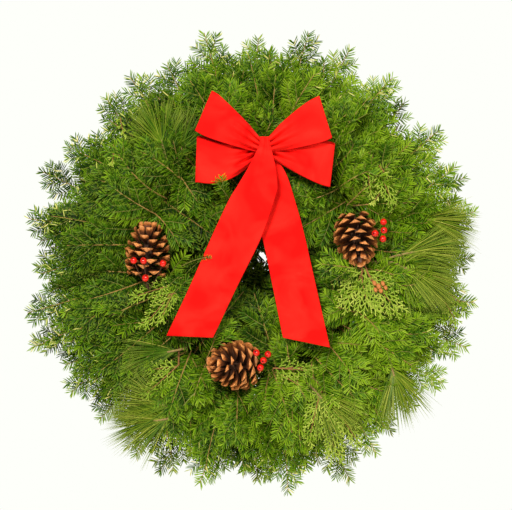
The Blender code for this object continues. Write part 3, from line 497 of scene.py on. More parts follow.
def needle_rank(path, face, rng, tint, grade, rank):
    """Roots, middles, tips, normals, widths and tints of the needles that stand in one rank."""
    needle, width, pitch = grade
    azimuth, scale, lean, thinner = rank
    steps = np.linalg.norm(np.diff(path, axis=0), axis=1)
    length = steps.sum()
    at = np.concatenate([[0], np.cumsum(steps)])
    where = np.arange(3.0, length, pitch * thinner)
    where = where + rng.uniform(-0.3, 0.3, len(where)) * pitch
    where = np.clip(where, 0, length)
    count = len(where)
    share = where / max(length, 1.0)
    tangent = unit(np.gradient(path, axis=0))
    root = np.stack([np.interp(where, at, path[:, i]) for i in range(3)], 1)
    forward = unit(np.stack([np.interp(where, at, tangent[:, i]) for i in range(3)], 1))
    front = unit(face - forward * (forward @ face)[:, None])
    across = np.cross(forward, front)
    turn = np.radians(azimuth + rng.normal(0, 8, count))[:, None]
    closing = np.clip((where - length + BUD_STRETCH) / BUD_STRETCH, 0, 1)
    angle = np.radians(lean - BUD_CLOSES * closing + rng.normal(0, 4, count))[:, None]
    out = np.cos(turn) * across + np.sin(turn) * front
    way = np.cos(angle) * forward + np.sin(angle) * out
    long = needle * scale * rng.uniform(0.86, 1.08, count) * (1 - 0.25 * closing)
    long = (long * (0.75 + 0.25 * np.clip(share / 0.12, 0, 1)))[:, None]
    curl = forward * 0.12 + front * 0.05
    middle = root + way * long * 0.72 + curl * long * 0.5
    roll = across * rng.normal(0, 0.3, count)[:, None]
    normal = front - out * 0.25 * math.sin(math.radians(azimuth)) + roll
    wide = width * rng.uniform(0.85, 1.1, count)
    return root, middle, root + way * long + curl * long, normal, wide, needle_tints(root, tint, closing, rng)


def needles_on(path, face, rng, tint, low_y=FRONT_Y, grade=FINE):
    """Blades for the needles of one twig."""
    ranks = [needle_rank(path, face, rng, tint, grade, rank) for rank in RANKS]
    needles = [np.concatenate(values) for values in zip(*ranks)]
    keep = is_free(needles[2], low_y, BACK_Y + 1.0) & is_free(needles[1], low_y, BACK_Y + 1.0)
    turned = rng.random(keep.sum()) < TURNED
    return blades(*[values[keep] for values in needles], turned)


def spray_parts(spray, rng, tint, grade=FINE):
    """Mesh parts for the needles and the bark of one spray."""
    twigs, face = spray
    parts = []
    for path, order in twigs:
        parts.append(needles_on(path, face, rng, tint + rng.normal(0, 0.11), FRONT_Y, grade))
        thick = TWIG_R * TWIG_SHARES[order]
        radii = np.linspace(thick, thick * 0.4, len(path))
        old = order == 0 or np.linalg.norm(path[-1] - path[0]) > YOUNG_UP_TO
        parts.append(tube_batch(path, radii, face, BARK_ROW, rng, sides=4, slot=1 if old else 2))
    return [part for part in parts if len(part[0])]


print("ranks of needles round a twig:", len(RANKS))

# %% [markdown]
# ## Balsam fir needles
#
# A balsam needle has a waxy, dark green upper side, a paler underside with two silver stripes, and is
# yellower where it joins the twig and where the year's growth is young. The wax gives it a soft gloss, so
# its roughness is 0.5 with the usual index of a leaf's surface, 1.45. The stripes are too fine to show, so
# they only make the underside paler. So many needles throw a haze of glints, so each has little specular
# light of its own. The tint comes from the needle's own row of the map, so no two neighbours match.

# %% The needle material
LEAF_IOR = 1.45
LEAF_SPECULAR = 0.09


def map_place(tree):
    """The place on the map as its two outputs: along the piece, and the row."""
    place = add_node(tree, "ShaderNodeUVMap", uv_map=MAP_NAME).outputs["UV"]
    split = add_node(tree, "ShaderNodeSeparateXYZ", {"Vector": place})
    return split.outputs["X"], split.outputs["Y"]


def needle_material(name, tints, silver, base, tip, roughness):
    """A needle whose colour follows its tint and its length, paler on the underside."""
    material, tree, shader = new_material(name)
    along, row = map_place(tree)
    upper = pick_tint(tree, tints, row, *UPPER_ROW)
    lower = lay_over(tree, pick_tint(tree, tints, row, *LOWER_ROW), silver, 0.35)
    between = (UPPER_ROW[1] + LOWER_ROW[0]) / 2
    below = add_node(tree, "ShaderNodeMath", {0: row, 1: between}, operation="GREATER_THAN")
    colour = lay_over(tree, upper, lower, below.outputs[0])
    colour = lay_over(tree, colour, tip, along, 0.55, 1.15)
    colour = lay_over(tree, colour, base, along, 0.16, 0.0)
    set_inputs(tree, shader, {"Base Color": colour, "Roughness": roughness, "IOR": LEAF_IOR,
                              "Specular IOR Level": LEAF_SPECULAR})
    return material


FIR_TINTS = ((0.0, "#0d2202"), (0.25, "#1c3a04"), (0.5, "#396004"), (0.75, "#729412"), (1.0, "#cfc87c"))
fir_needle = needle_material("balsam fir needle, waxy", FIR_TINTS, "#799a44", "#1f3708", "#809e24", 0.5)
print("made", fir_needle.name)

# %% [markdown]
# ## Twig bark
#
# Young fir twigs are covered in thin, smooth bark of a light tan, with a little green in it and darker
# rings where each year's growth began. It is dry and dull, so it is rougher than the needles. Its streaks
# are counted over a twig's map, so they are finer on a thin twig.

# %% The bark material
STREAKS = (30.0, 60.0, 1.0)


def bark_material(name, light, dark, roughness):
    """Bark with lengthwise streaks and small dark flecks, drawn from the map."""
    material, tree, shader = new_material(name)
    place = add_node(tree, "ShaderNodeUVMap", uv_map=MAP_NAME).outputs["UV"]
    stretch = add_node(tree, "ShaderNodeMapping", {"Vector": place, "Scale": STREAKS})
    values = {"Vector": stretch.outputs[0], "Scale": 1.0, "Detail": 4.0}
    grain = add_node(tree, "ShaderNodeTexNoise", values).outputs["Fac"]
    colour = lay_over(tree, dark, light, grain, 0.35, 0.65)
    bump = add_node(tree, "ShaderNodeBump", {"Height": grain, "Strength": 0.3, "Distance": 0.4 * MM})
    set_inputs(tree, shader, {"Base Color": colour, "Normal": bump.outputs[0], "Roughness": roughness})
    return material


fir_bark = bark_material("fir twig bark, smooth and dry", "#b08c4c", "#6f5a26", 0.7)
young_bark = bark_material("this year's fir bark, thin and greenish", "#86873a", "#5a5a1c", 0.65)
FIR_MATERIALS = (fir_needle, fir_bark, young_bark)
print("made", fir_bark.name, "and", young_bark.name)

# %% [markdown]
# ## The bunches of fir
#
# Wreath makers lay a bunch of tips on the ring, take a few turns of wire round the stems, and lay the
# next bunch over them. Each bunch has long tips that reach outwards, short ones that stand up over the
# stems of the last bunch, and a few that point inwards. There is one object for each bunch, in the wedge
# that its solid fills, and the longest tips end where the tips of the solid end.

# %% The routes of the sprays
# A route starts and bends at an angle, a radius and a depth, where angles are counted from the bunch's own.
# Its end is (angle, share of the draw that leans it, share of the longest tip's radius, radius to add, share
# of the draw that adds to the radius, depth). After it come the draws' number, the tint and the fullness.
# Sprays that lie further back, nearer the ring, mostly have lower tints, as painted shade.
FRONT_ROUTES = (
    ((5, 160, -16), (9, 230, -60), (11, 1, 1, -12, -28, -30), 0, 0.42, 0.46, FINE),
    ((-2, 158, -34), (1, 205, -78), (0, 1, 0, 240, 50, -62), 1, 0.50, 0.55, FINE),
    ((8, 150, -36), (8, 190, -84), (9, 1, 0, 205, 40, -70), 2, 0.50, 0.60, FINE),
    ((0, 170, -14), (0, 120, -64), (0, 2, 0, 42, 20, -34), 3, 0.40, 0.50, FINE),
    ((7, 178, -30), (8, 140, -84), (10, 2, 0, 92, 26, -60), 4, 0.45, 0.60, FINE),
    ((-4, 165, -30), (-9, 205, -66), (-12, 1, 0, 225, 30, -50), 5, 0.44, 0.60, FINE),
    ((-1, 168, -16), (-3, 240, -46), (-4, 0.5, 1, -22, -26, -38), 7, 0.38, 0.42, FINE),
    ((3, 172, -22), (5, 232, -70), (6, 1, 1, -50, -24, -58), 8, 0.42, 0.5, FINE),
    ((2, 172, -10), (3, 245, -26), (4, 1, 1, -28, -18, -14), 6, 0.42, 0.5, COARSE),
    ((-15, 146, -6), (0, 172, -12), (15, 0, 0, 140, 0, -6), 9, 0.12, 0.62, COARSE),
)
BACK_ROUTES = (
    ((9, 156, 8), (10, 230, 20), (11, 1, 1, -20, -30, 6), 0, 0.5, 0.5, FINE),
    ((2, 160, 8), (0, 110, 24), (0, 2, 0, -6, 30, 12), 1, 0.30, 0.55, COARSE),
    ((-3, 155, 3), (-4, 220, 8), (-4, 1, 0, 250, 34, 0), 2, 0.4, 0.6, COARSE),
    ((-13, 172, 2), (0, 156, 3), (13, 0, 0, 176, 0, 2), 4, 0.16, 0.6, COARSE),
    ((8, 164, 2), (8, 112, 8), (8, 2, 0, 40, 26, 0), 3, 0.24, 0.6, COARSE),
)
# For each layer: the first bunch's angle in sectors, the first seed, the number of draws and the most lean,
# the start and bend of the spray to the longest tip with its tint and fullness, the routes, and the slot.
LAYERS = {
    "front": (0.5, 40, 10, 7, ((-5, 150, -8), (0, 235, -48), 0.46, 0.46), FRONT_ROUTES, "balsam_green"),
    "back": (0.0, 140, 6, 6, ((6, 152, 6), (0, 240, 24), 0.54, 0.48), BACK_ROUTES, "balsam_underside"),
}
print("routes in a bunch:", len(FRONT_ROUTES), "in front and", len(BACK_ROUTES), "behind")

# %% The bunches in front of the ring and behind it
def furthest(name):
    """The corner of a solid that lies furthest from the ring's middle."""
    points = node_points(name)
    radius = np.hypot(points[:, 0], points[:, 2] - RING_Z)
    return points[radius.argmax()]


def bunch_parts(layer, number, node):
    """Parts for the sprays of one bunch, the one to its solid's longest tip first."""
    offset, seed, draws, most_lean, longest, routes, _ = LAYERS[layer]
    rng = np.random.default_rng(seed + number)
    angle = (number + offset) * SECTOR_ANGLE
    tip = furthest(node)
    reach = np.hypot(tip[0], tip[2] - RING_Z)
    lean = rng.uniform(-most_lean, most_lean, draws)
    far = rng.uniform(0, 1, draws)

    def at(place):
        return polar(angle + place[0], *place[1:])

    sprays = [(at(longest[0]), at(longest[1]), tip, *longest[2:], FINE)]
    for start, middle, (turn, swing, share, radius, more, depth), draw, tint, fullness, grade in routes:
        end = polar(angle + turn + swing * lean[draw], share * reach + radius + more * far[draw], depth)
        sprays.append((at(start), at(middle), end, tint, fullness, grade))
    parts = []
    for start, middle, end, tint, fullness, grade in sprays:
        parts += spray_parts(grow_spray(start, middle, end, rng, fullness), rng, tint, grade)
    return parts


for layer in LAYERS:
    total = 0
    for number in range(SECTORS):
        place = f"{layer}_{number + 1:02d}"
        parts = bunch_parts(layer, number, f"balsam_{place}")
        piece = add_piece(f"fir_{place}", parts, FIR_MATERIALS, f"balsam_{place}")
        total += triangles_in(piece)
    print(layer, "fir triangles", total)

# %% [markdown]
# ## Tips over the bow
#
# Where the bow was pushed into the fir, three tips have slipped out over the lower edge of the lower left
# loop, and one over the edge of the left tail. Each is a short spray of its own, which leaves the bunch
# beside the ribbon and comes forward in front of it.

# %% The tips over the loop and the tail
BOW_FRONT_Y = -108.0
LOOP_TIP, TAIL_TIP = (11.0, 1.3, 3.0), (5.0, 1.1, 2.6)
SLIPPED_OUT = (
    ((-38, 84, -72), (-45, 102, -92), (-47, 121, -103), 0.6, LOOP_TIP),
    ((-34, 86, -74), (-42, 100, -92), (-57, 116, -102), 0.6, LOOP_TIP),
    ((-62, 64, -72), (-58, 72, -90), (-36, 74, -106), 0.6, LOOP_TIP),
    ((-106, -6, -76), (-84, 6, -106), (-61, 8, -105), 0.2, TAIL_TIP),
)
rng = np.random.default_rng(20)
parts = []
for *places, tint, grade in SLIPPED_OUT:
    path = curve_through(*[xz(*place) for place in places], TWIG_STEP / 2)
    parts.append(needles_on(path, TOWARDS_VIEWER, rng, tint, BOW_FRONT_Y, grade))
    parts.append(tube_batch(path, np.linspace(0.9, 0.4, len(path)), TOWARDS_VIEWER, BARK_ROW, rng, 4, slot=2))
tips = add_piece("fir_tip_over_bow", parts, FIR_MATERIALS)
print("tips over the bow", triangles_in(tips), "triangles")

# %% [markdown]
# ## Cedar sprays
#
# Northern white cedar grows in flat fans. Its leaves are tiny scales pressed to the branchlets, so a
# branchlet looks like a plait with toothed edges, about 2 mm wide. One could draw the scales as a bump, but
# the outline is what the eye reads, so the toothed strips are real shape: four-sided strips whose width
# swells and shrinks once for every pair of scales.

# %% Toothed strips
SCALE_PITCH = 2.4
SCALE_WIDTH = 2.2
BRANCH_PITCH = 5.4
CEDAR_FRONT_Y = -84.0
# A branch leaves the stem at this angle in degrees, less this much at the tip, with this spread. A
# branchlet leaves its branch at an angle between the other two.
FAN_FORK, FAN_NARROWER, FAN_SPREAD = 62, 30, 4
BRANCHLET_FORK = (36, 48)
# Half a strip's width where a pair of scales stands out, where the next begins, and at its end.
SCALE_OUT, SCALE_IN, SCALE_END = 0.5, 0.3, 0.12


def toothed_strip(start, end, face, tint):
    """A batch for one flat branchlet of scale leaves."""
    length = np.linalg.norm(end - start)
    count = max(3, int(length / SCALE_PITCH) * 2 + 1)
    share = np.linspace(0, 1, count)
    path = start + (end - start) * share[:, None]
    path += face * (np.sin(share * math.pi) * 0.06 * length)[:, None]
    side = unit(np.cross(unit(end - start), face))
    wide = np.where(np.arange(count) % 2 == 1, SCALE_OUT, SCALE_IN) * SCALE_WIDTH * (1 - 0.25 * share)
    wide[-1] = SCALE_END * SCALE_WIDTH
    thick = 0.4 * wide
    corners = np.stack([-side, face, side, -face])
    sizes = np.stack([wide, thick, wide, thick], 1)
    points = (path[:, None] + corners[None] * sizes[:, :, None]).reshape(-1, 3)
    faces, up, _ = skin(count, 4)
    row = row_place(UPPER_ROW, tint)
    places = np.stack([share[up] * 0.9 + 0.05, row_sides(np.full(len(faces), row), (-1, 1, 1, -1))], 2)
    return points, [(faces, places, 0), (end_faces(count, 4), np.tile([0.5, row], (2, 4, 1)), 0)]


def cedar_fan(base, middle, tip, half_width, rng, tint, stem):
    """Parts for one flat fan: a stem, its branches on both sides, and their branchlets."""
    face = unit(TOWARDS_VIEWER + rng.normal(0, 0.16, 3))
    stem_path = curve_through(base, middle, tip, 6.0)
    parts = [tube_batch(stem_path, np.linspace(stem, stem * 0.4, len(stem_path)), face, BARK_ROW, rng, 5)]
    length = np.linalg.norm(np.diff(stem_path, axis=0), axis=1).sum()
    share, side = 0.08, 1
    while share < 0.98:
        place = share * (len(stem_path) - 1)
        j = min(int(place), len(stem_path) - 2)
        root = stem_path[j] + (stem_path[j + 1] - stem_path[j]) * (place - j)
        forward = unit(stem_path[j + 1] - stem_path[j])
        across = unit(np.cross(forward, face)) * side
        angle = math.radians(FAN_FORK - FAN_NARROWER * share + rng.normal(0, FAN_SPREAD))
        out = unit(forward * math.cos(angle) + across * math.sin(angle) + face * rng.normal(0, 0.10))
        reach = half_width * (1.15 - 0.55 * share) * rng.uniform(0.85, 1.1)
        end = root + out * reach * 0.8 + forward * reach * 0.3 - face * reach * rng.uniform(0.0, 0.12)
        parts += cedar_branch(root, root + out * reach * 0.5, end, face, rng, tint + rng.normal(0, 0.07))
        share += BRANCH_PITCH / length * rng.uniform(0.85, 1.15)
        side = -side
    parts += cedar_branch(stem_path[-3], stem_path[-2], tip, face, rng, tint)
    return parts


def cedar_branch(root, middle, end, face, rng, tint):
    """Parts for one branch of a fan, with its branchlets in turn on either side."""
    path = curve_through(root, middle, end, 4.6)
    path = path[: max(2, int(is_free(path, CEDAR_FRONT_Y).sum()))]
    parts = []
    reach = np.linalg.norm(path[-1] - path[0])
    for j in range(len(path) - 1):
        parts.append(toothed_strip(path[j], path[j + 1] + (path[j + 1] - path[j]) * 0.15, face, tint))
        if j == 0:
            continue
        forward = unit(path[j + 1] - path[j])
        across = unit(np.cross(forward, face)) * (1 if j % 2 else -1)
        share = j / len(path)
        long = (3.5 + reach * 0.26 * (1.05 - share)) * rng.uniform(0.8, 1.15)
        angle = math.radians(rng.uniform(*BRANCHLET_FORK))
        out = unit(forward * math.cos(angle) + across * math.sin(angle) + face * rng.normal(0, 0.12))
        finger = path[j] + out * long
        if is_free(finger[None], CEDAR_FRONT_Y)[0]:
            parts.append(toothed_strip(path[j], finger, face, np.clip(tint + rng.normal(0.06, 0.08), 0, 1)))
    return parts


print("scales in 10 mm of branchlet", round(10 / SCALE_PITCH))

# %% [markdown]
# ## Cedar finish
#
# Cedar scales are a bright yellow-green, more yellow at the growing tips, with a slight wax gloss. The
# stems are reddish brown where the scales have fallen off. The colour moves from stem to tip with the
# same small map as the needles.

# %% Cedar material
CEDAR_TINTS = ((0.0, "#2a460c"), (0.3, "#47680f"), (0.6, "#728f24"), (1.0, "#acb855"))
CEDAR_NAME = "white cedar scale leaves, waxy"
cedar_scale = needle_material(CEDAR_NAME, CEDAR_TINTS, "#97ab62", "#567020", "#bcc05c", 0.5)
cedar_bark = bark_material("white cedar bark, thin and reddish", "#9c6c3c", "#6a4426", 0.8)
CEDAR_MATERIALS = (cedar_scale, cedar_bark)
print("made", cedar_scale.name, "and", cedar_bark.name)

# %% The cedar pieces
CEDAR_SPRAYS = {
    "right": [((155, 2, -62), (150, -30, -74), (163, -62, -74), 50, 0.6),
              ((158, -8, -64), (176, -40, -76), (205, -68, -74), 34, 0.62),
              ((156, -12, -64), (138, -44, -74), (128, -62, -74), 24, 0.66)],
    "left": [((-112, -34, -62), (-132, -60, -74), (-160, -92, -72), 22, 0.55),
             ((-112, -32, -62), (-150, -40, -72), (-178, -52, -70), 20, 0.5),
             ((-110, -34, -62), (-124, -50, -76), (-136, -88, -74), 16, 0.55)],
    "lower_left": [((-110, -148, -62), (-134, -170, -74), (-164, -195, -70), 22, 0.55),
                   ((-112, -150, -62), (-140, -152, -74), (-168, -158, -70), 16, 0.5)],
    "bottom": [((26, -153, -58), (50, -153, -74), (82, -156, -70), 22, 0.55),
               ((30, -158, -58), (54, -170, -74), (70, -182, -70), 14, 0.5)],
    "lower_right": [((94, -178, -62), (104, -225, -76), (116, -278, -66), 36, 0.66),
                    ((98, -190, -62), (128, -226, -76), (150, -262, -66), 27, 0.66),
                    ((96, -182, -62), (84, -220, -76), (78, -256, -66), 22, 0.62)],
    "upper_right": [((162, 160, -58), (182, 124, -74), (199, 82, -70), 24, 0.55),
                    ((164, 156, -58), (160, 124, -74), (168, 92, -70), 14, 0.5)],
}
# Short tips that stand out of the fir without a stem of their own on the ring.
SMALL_SPRIGS = {
    "upper_left": [((-194, 208, -58), (-192, 196, -72), (-187, 180, -74), 9, 0.62),
                   ((-203, 163, -58), (-203, 150, -72), (-206, 138, -74), 9, 0.6)],
    "far_right": [((262, -38, -34), (280, -62, -46), (294, -92, -44), 17, 0.5),
                  ((266, -34, -34), (288, -50, -46), (306, -66, -42), 13, 0.5)],
    "over_right_cone": [((180, 99, -64), (173, 92, -76), (168, 82, -79), 8, 0.75)],
    "low_left": [((-128, -238, -54), (-126, -250, -64), (-123, -266, -62), 9, 0.6)],
}
FAN_STEM, SPRIG_STEM = 0.9, 0.8
# A stem on the ring rises this far in front of the straight way, in steps of this length.
STALK_RISE, STALK_STEP = 6.0, 6.0


def stalk_batch(node, base, radius, sides, rng):
    """A stem from the end of the solid's own stem on the ring to the base of what grows on it."""
    foot = node_points(node)[:3].mean(0)
    path = curve_through(foot, (foot + base) / 2 - np.array([0, STALK_RISE, 0]), base, STALK_STEP)
    return tube_batch(path, np.full(len(path), radius), TOWARDS_VIEWER, BARK_ROW, rng, sides)


def fan_parts(fans, rng, stem):
    """Parts for all the fans of one piece."""
    parts = []
    for *places, half_width, tint in fans:
        parts += cedar_fan(*[xz(*place) for place in places], half_width, rng, tint, stem)
    return parts


total = 0
for number, (name, fans) in enumerate(CEDAR_SPRAYS.items()):
    rng = np.random.default_rng(300 + number)
    node = f"cedar_{name}"
    parts = fan_parts(fans, rng, FAN_STEM)
    parts.append(stalk_batch(node, xz(*fans[0][0]), 1.2, 5, rng))
    total += triangles_in(add_piece(f"cedar_spray_{name}", parts, CEDAR_MATERIALS, node))
for number, (name, fans) in enumerate(SMALL_SPRIGS.items()):
    parts = fan_parts(fans, np.random.default_rng(320 + number), SPRIG_STEM)
    total += triangles_in(add_piece(f"cedar_sprigs_{name}", parts, CEDAR_MATERIALS))
print("cedar triangles", total)

# %% [markdown]
# ## White pine tufts
#
# White pine carries its needles in bundles of five, 70 to 100 mm long and under 1 mm thick, soft enough to
# bend under their own weight. They spring from the last few centimetres of the twig and fan out round it.
# Each needle is a thin three-sided tube along a gentle curve.

# %% Long soft needles
PINE_NEEDLE = 84.0
PINE_THICK = 0.9
BUNDLE = 5
PINE_FRONT_Y = FRONT_Y - 3
# A tuft is flatter than it is wide, and its needles sag by this share of their length.
TUFT_FLAT = 0.45
PINE_SAG = np.array([0.0, 0.0, -0.10])
# A bundle's angle to its twig strays by this much in degrees, and a needle's way by this share.
BUNDLE_STRAY, NEEDLE_STRAY = 7, 0.10
# Along a needle: its stations, the last of which is the tip, and its radius at the others.
PINE_STATIONS = np.array([0.0, 0.35, 0.7, 1.0])
PINE_RADII = PINE_THICK / 2 * np.array([0.8, 1.0, 0.8])
# Round a needle: three corners, so its faces are six along the sides, three to the tip and one at the root.
PINE_FACES = [
    *[((j * 3 + k, j * 3 + (k + 1) % 3, j * 3 + 3 + (k + 1) % 3, j * 3 + 3 + k), (j, j, j + 1, j + 1))
      for j in range(2) for k in range(3)],
    *[((6 + k, 6 + (k + 1) % 3, 9), (2, 2, 3)) for k in range(3)],
    ((2, 1, 0), (0, 0, 0)),
]


def long_needles(roots, ways, sags, lengths, tints):
    """Batches for many long needles that bend towards their sag."""
    count = len(roots)
    centre = roots[:, None] + ways[:, None] * (lengths[:, None] * PINE_STATIONS)[:, :, None]
    centre = centre + sags[:, None] * (lengths[:, None] * PINE_STATIONS**2)[:, :, None]
    side = unit(np.cross(ways, [0.2, 1.0, 0.1]))
    other = np.cross(ways, side)
    turns = [2 * math.pi * k / 3 + 0.5 for k in range(3)]
    ring = np.stack([side * math.cos(turn) + other * math.sin(turn) for turn in turns], 1)
    points = centre[:, :3, None] + ring[:, None] * PINE_RADII[None, :, None, None]
    points = np.concatenate([points.reshape(count, 9, 3), centre[:, 3:]], 1)
    first = (np.arange(count) * 10)[:, None]
    row = row_place(UPPER_ROW, tints)
    batches = []
    for corners, stations in PINE_FACES:
        faces = first + np.array(corners)[None]
        along = np.broadcast_to(PINE_STATIONS[list(stations)] * 0.94 + 0.03, faces.shape)
        signs = (-1, 1, 1, -1) if len(corners) == 4 else (-1, 1, 0)
        batches.append((faces, np.stack([along, row_sides(row, signs)], 2), 0))
    return points.reshape(-1, 3), batches


def pine_tuft(path, rng, bundles, spread, tint):
    """Parts for a twig with bundles of needles along its last part."""
    face = TOWARDS_VIEWER
    parts = [tube_batch(path, np.linspace(2.0, 1.2, len(path)), face, BARK_ROW, rng, 6)]
    share = np.sort(rng.uniform(0.35, 1.0, bundles)) ** 0.8
    place = share * (len(path) - 1)
    j = np.minimum(place.astype(int), len(path) - 2)
    root = path[j] + (path[j + 1] - path[j]) * (place - j)[:, None]
    forward = unit(path[j + 1] - path[j])
    across = unit(np.cross(forward, face))
    turn = rng.uniform(0, 2 * math.pi, bundles)
    out = unit(across * np.cos(turn)[:, None] + face * (np.sin(turn) * TUFT_FLAT)[:, None])
    angle = np.radians(spread[0] + (spread[1] - spread[0]) * share + rng.normal(0, BUNDLE_STRAY, bundles))
    way = forward * np.cos(angle)[:, None] + out * np.sin(angle)[:, None]
    root, way = np.repeat(root, BUNDLE, 0), np.repeat(way, BUNDLE, 0)
    way = unit(way + rng.normal(0, NEEDLE_STRAY, way.shape))
    count = len(root)
    lengths = PINE_NEEDLE * rng.uniform(0.72, 1.0, count)
    sags = PINE_SAG + rng.normal(0, 0.035, (count, 3))
    tip = root + (way + sags) * lengths[:, None]
    middle = root + (way * 0.6 + sags * 0.36) * lengths[:, None]
    keep = is_free(tip, PINE_FRONT_Y) & is_free(middle, PINE_FRONT_Y)
    tints = np.clip(tint + rng.normal(0, 0.16, count), 0, 1)
    parts.append(long_needles(root[keep], way[keep], sags[keep], lengths[keep], tints[keep]))
    return parts


print("needles in a tuft of 40 bundles", 40 * BUNDLE)

# %% [markdown]
# ## Pine needle finish
#
# The needles are a softer, more olive green than fir, with fine white lines that read as a pale sheen, and
# they are smoother than cedar. They turn slightly yellow towards the tip.

# %% Pine material
PINE_TINTS = ((0.0, "#1a3406"), (0.3, "#3a5e10"), (0.6, "#6c7e1c"), (1.0, "#b9b85a"))
pine_needle = needle_material("white pine needle, smooth", PINE_TINTS, "#9db08a", "#5f7028", "#86963c", 0.38)
pine_bark = bark_material("white pine twig bark, green-brown", "#9a8550", "#6a5530", 0.75)
print("made", pine_needle.name)

# %% The pine pieces
# For each twig of a tuft: its base, bend and tip, its size, and how far its needles spread in degrees, on
# the lowest part that bears them and at the tip.
PINE_TUFTS = {
    "upper_left": [((-128, 138, -54), (-130, 154, -66), (-134, 176, -70), 44, (64, 16)),
                   ((-120, 134, -50), (-112, 150, -62), (-104, 166, -66), 20, (50, 14))],
    "left": [((-100, -124, -54), (-112, -127, -64), (-126, -129, -68), 34, (34, 8))],
    "lower_left": [((-108, -220, -54), (-122, -226, -64), (-146, -228, -66), 40, (56, 12)),
                   ((-104, -210, -54), (-120, -208, -64), (-140, -204, -66), 22, (44, 12))],
    "lower_right": [((186, -142, -54), (198, -150, -64), (200, -164, -68), 38, (50, 14)),
                    ((70, -168, -54), (86, -184, -64), (96, -196, -68), 26, (50, 14))],
    "right": [((190, 2, -52), (204, -2, -62), (228, -14, -64), 44, (54, 12)),
              ((194, 6, -52), (212, 12, -62), (236, 16, -62), 20, (40, 12))],
    "far_right": [((236, 66, -36), (246, 62, -46), (256, 60, -50), 34, (44, 10))],
}
# The number of bundles for a size of one. The tufts low down and on the right get more light.
TUFT_FULL = 2.6
SHADED_TINT, LIT_TINT = 0.33, 0.47
total = 0
for number, (name, twigs) in enumerate(PINE_TUFTS.items()):
    rng = np.random.default_rng(400 + number)
    node = f"pine_{name}"
    tint = LIT_TINT if "lower" in name or "right" in name else SHADED_TINT
    parts = []
    for *places, size, spread in twigs:
        path = curve_through(*[xz(*place) for place in places], 5.0)
        parts += pine_tuft(path, rng, int(TUFT_FULL * size), spread, tint)
    parts.append(stalk_batch(node, xz(*twigs[0][0]), 2.0, 6, rng))
    total += triangles_in(add_piece(f"pine_tuft_{name}", parts, (pine_needle, pine_bark), node))
print("pine triangles", total)

# %% [markdown]
# ## Pine cones
#
# An open pine cone is a core with about a hundred woody scales on it, set in spirals: each scale is turned
# by the golden angle, 137.5 degrees, from the one before, which is why no scale hides behind another. A
# scale is thin and dark inside and ends in a thick, lighter lip shaped like a flat diamond. Each scale is
# one small loft from the core to the lip.

# %% Cone scales
GOLDEN_ANGLE = 137.508
CONE_SCALES = 62
# Along a scale: the share of its length, its width, its thickness and how far its middle drops.
SCALE_STATIONS = ((0.0, 0.16, 0.10, 0.0), (0.45, 0.46, 0.10, 0.0), (0.76, 0.86, 0.14, 0.0),
                  (0.89, 1.0, 0.44, 0.02), (0.96, 0.90, 0.46, 0.0), (1.0, 0.52, 0.22, -0.04))
# Round a scale: a flat top with sharp corners at the sides, and a keel below that ends in the lip's point.
SCALE_CORNERS = ((-1.0, 0.34), (-0.5, 0.30), (0.0, 0.42), (0.5, 0.30),
                 (1.0, 0.34), (0.5, -0.40), (0.0, -1.10), (-0.5, -0.40))


def cone_scale(root, out, across, up, length, width, shade, rng):
    """A batch for one scale, from the core to the end of its lip."""
    points = []
    bend = rng.normal(0, 0.03)
    for share, wide, thick, drop in SCALE_STATIONS:
        centre = root + out * length * share + up * length * (0.22 * share**2 + bend * share)
        for a, b in SCALE_CORNERS:
            points.append(centre + across * a * wide * width / 2 + up * (b * thick + drop) * width / 2)
    points = np.array(points) + rng.normal(0, 0.20, (len(points), 3))
    rows, sides = len(SCALE_STATIONS), len(SCALE_CORNERS)
    faces, station, _ = skin(rows, sides)
    share = np.array(SCALE_STATIONS)[:, 0][station]
    places = np.stack([inset(share), np.full(faces.shape, shade)], 2)
    end_places = np.stack([np.repeat([[0.03], [0.97]], sides, 1), np.full((2, sides), shade)], 2)
    return points, [(faces, places, 0), (end_faces(rows, sides), end_places, 0)]


# Along a cone's half length, where its scales begin and how far they go.
SCALES_FROM, SCALES_SPAN = -0.80, 1.62
# A scale's tilt in degrees: at the first scale, what it gains evenly, what it gains at the tip, its spread.
FIRST_TILT, EVEN_TILT, TIP_TILT, TILT_SPREAD = -14, 30, 58, 5
# The width of a cone's scales at its ends, and what it gains at the middle.
END_SCALE_WIDE, MIDDLE_SCALE_WIDER = 12.0, 7.0
# The core's radius where the scales spring from it, and its own radii from the stem to the tip.
CORE_R = 5.5
CORE_RADII = (4.5, 7.0, 7.0, 5.5, 2.0)
# Outside foliage a stem's bark takes the whole map.
WHOLE_ROW = (0.1, 0.9)


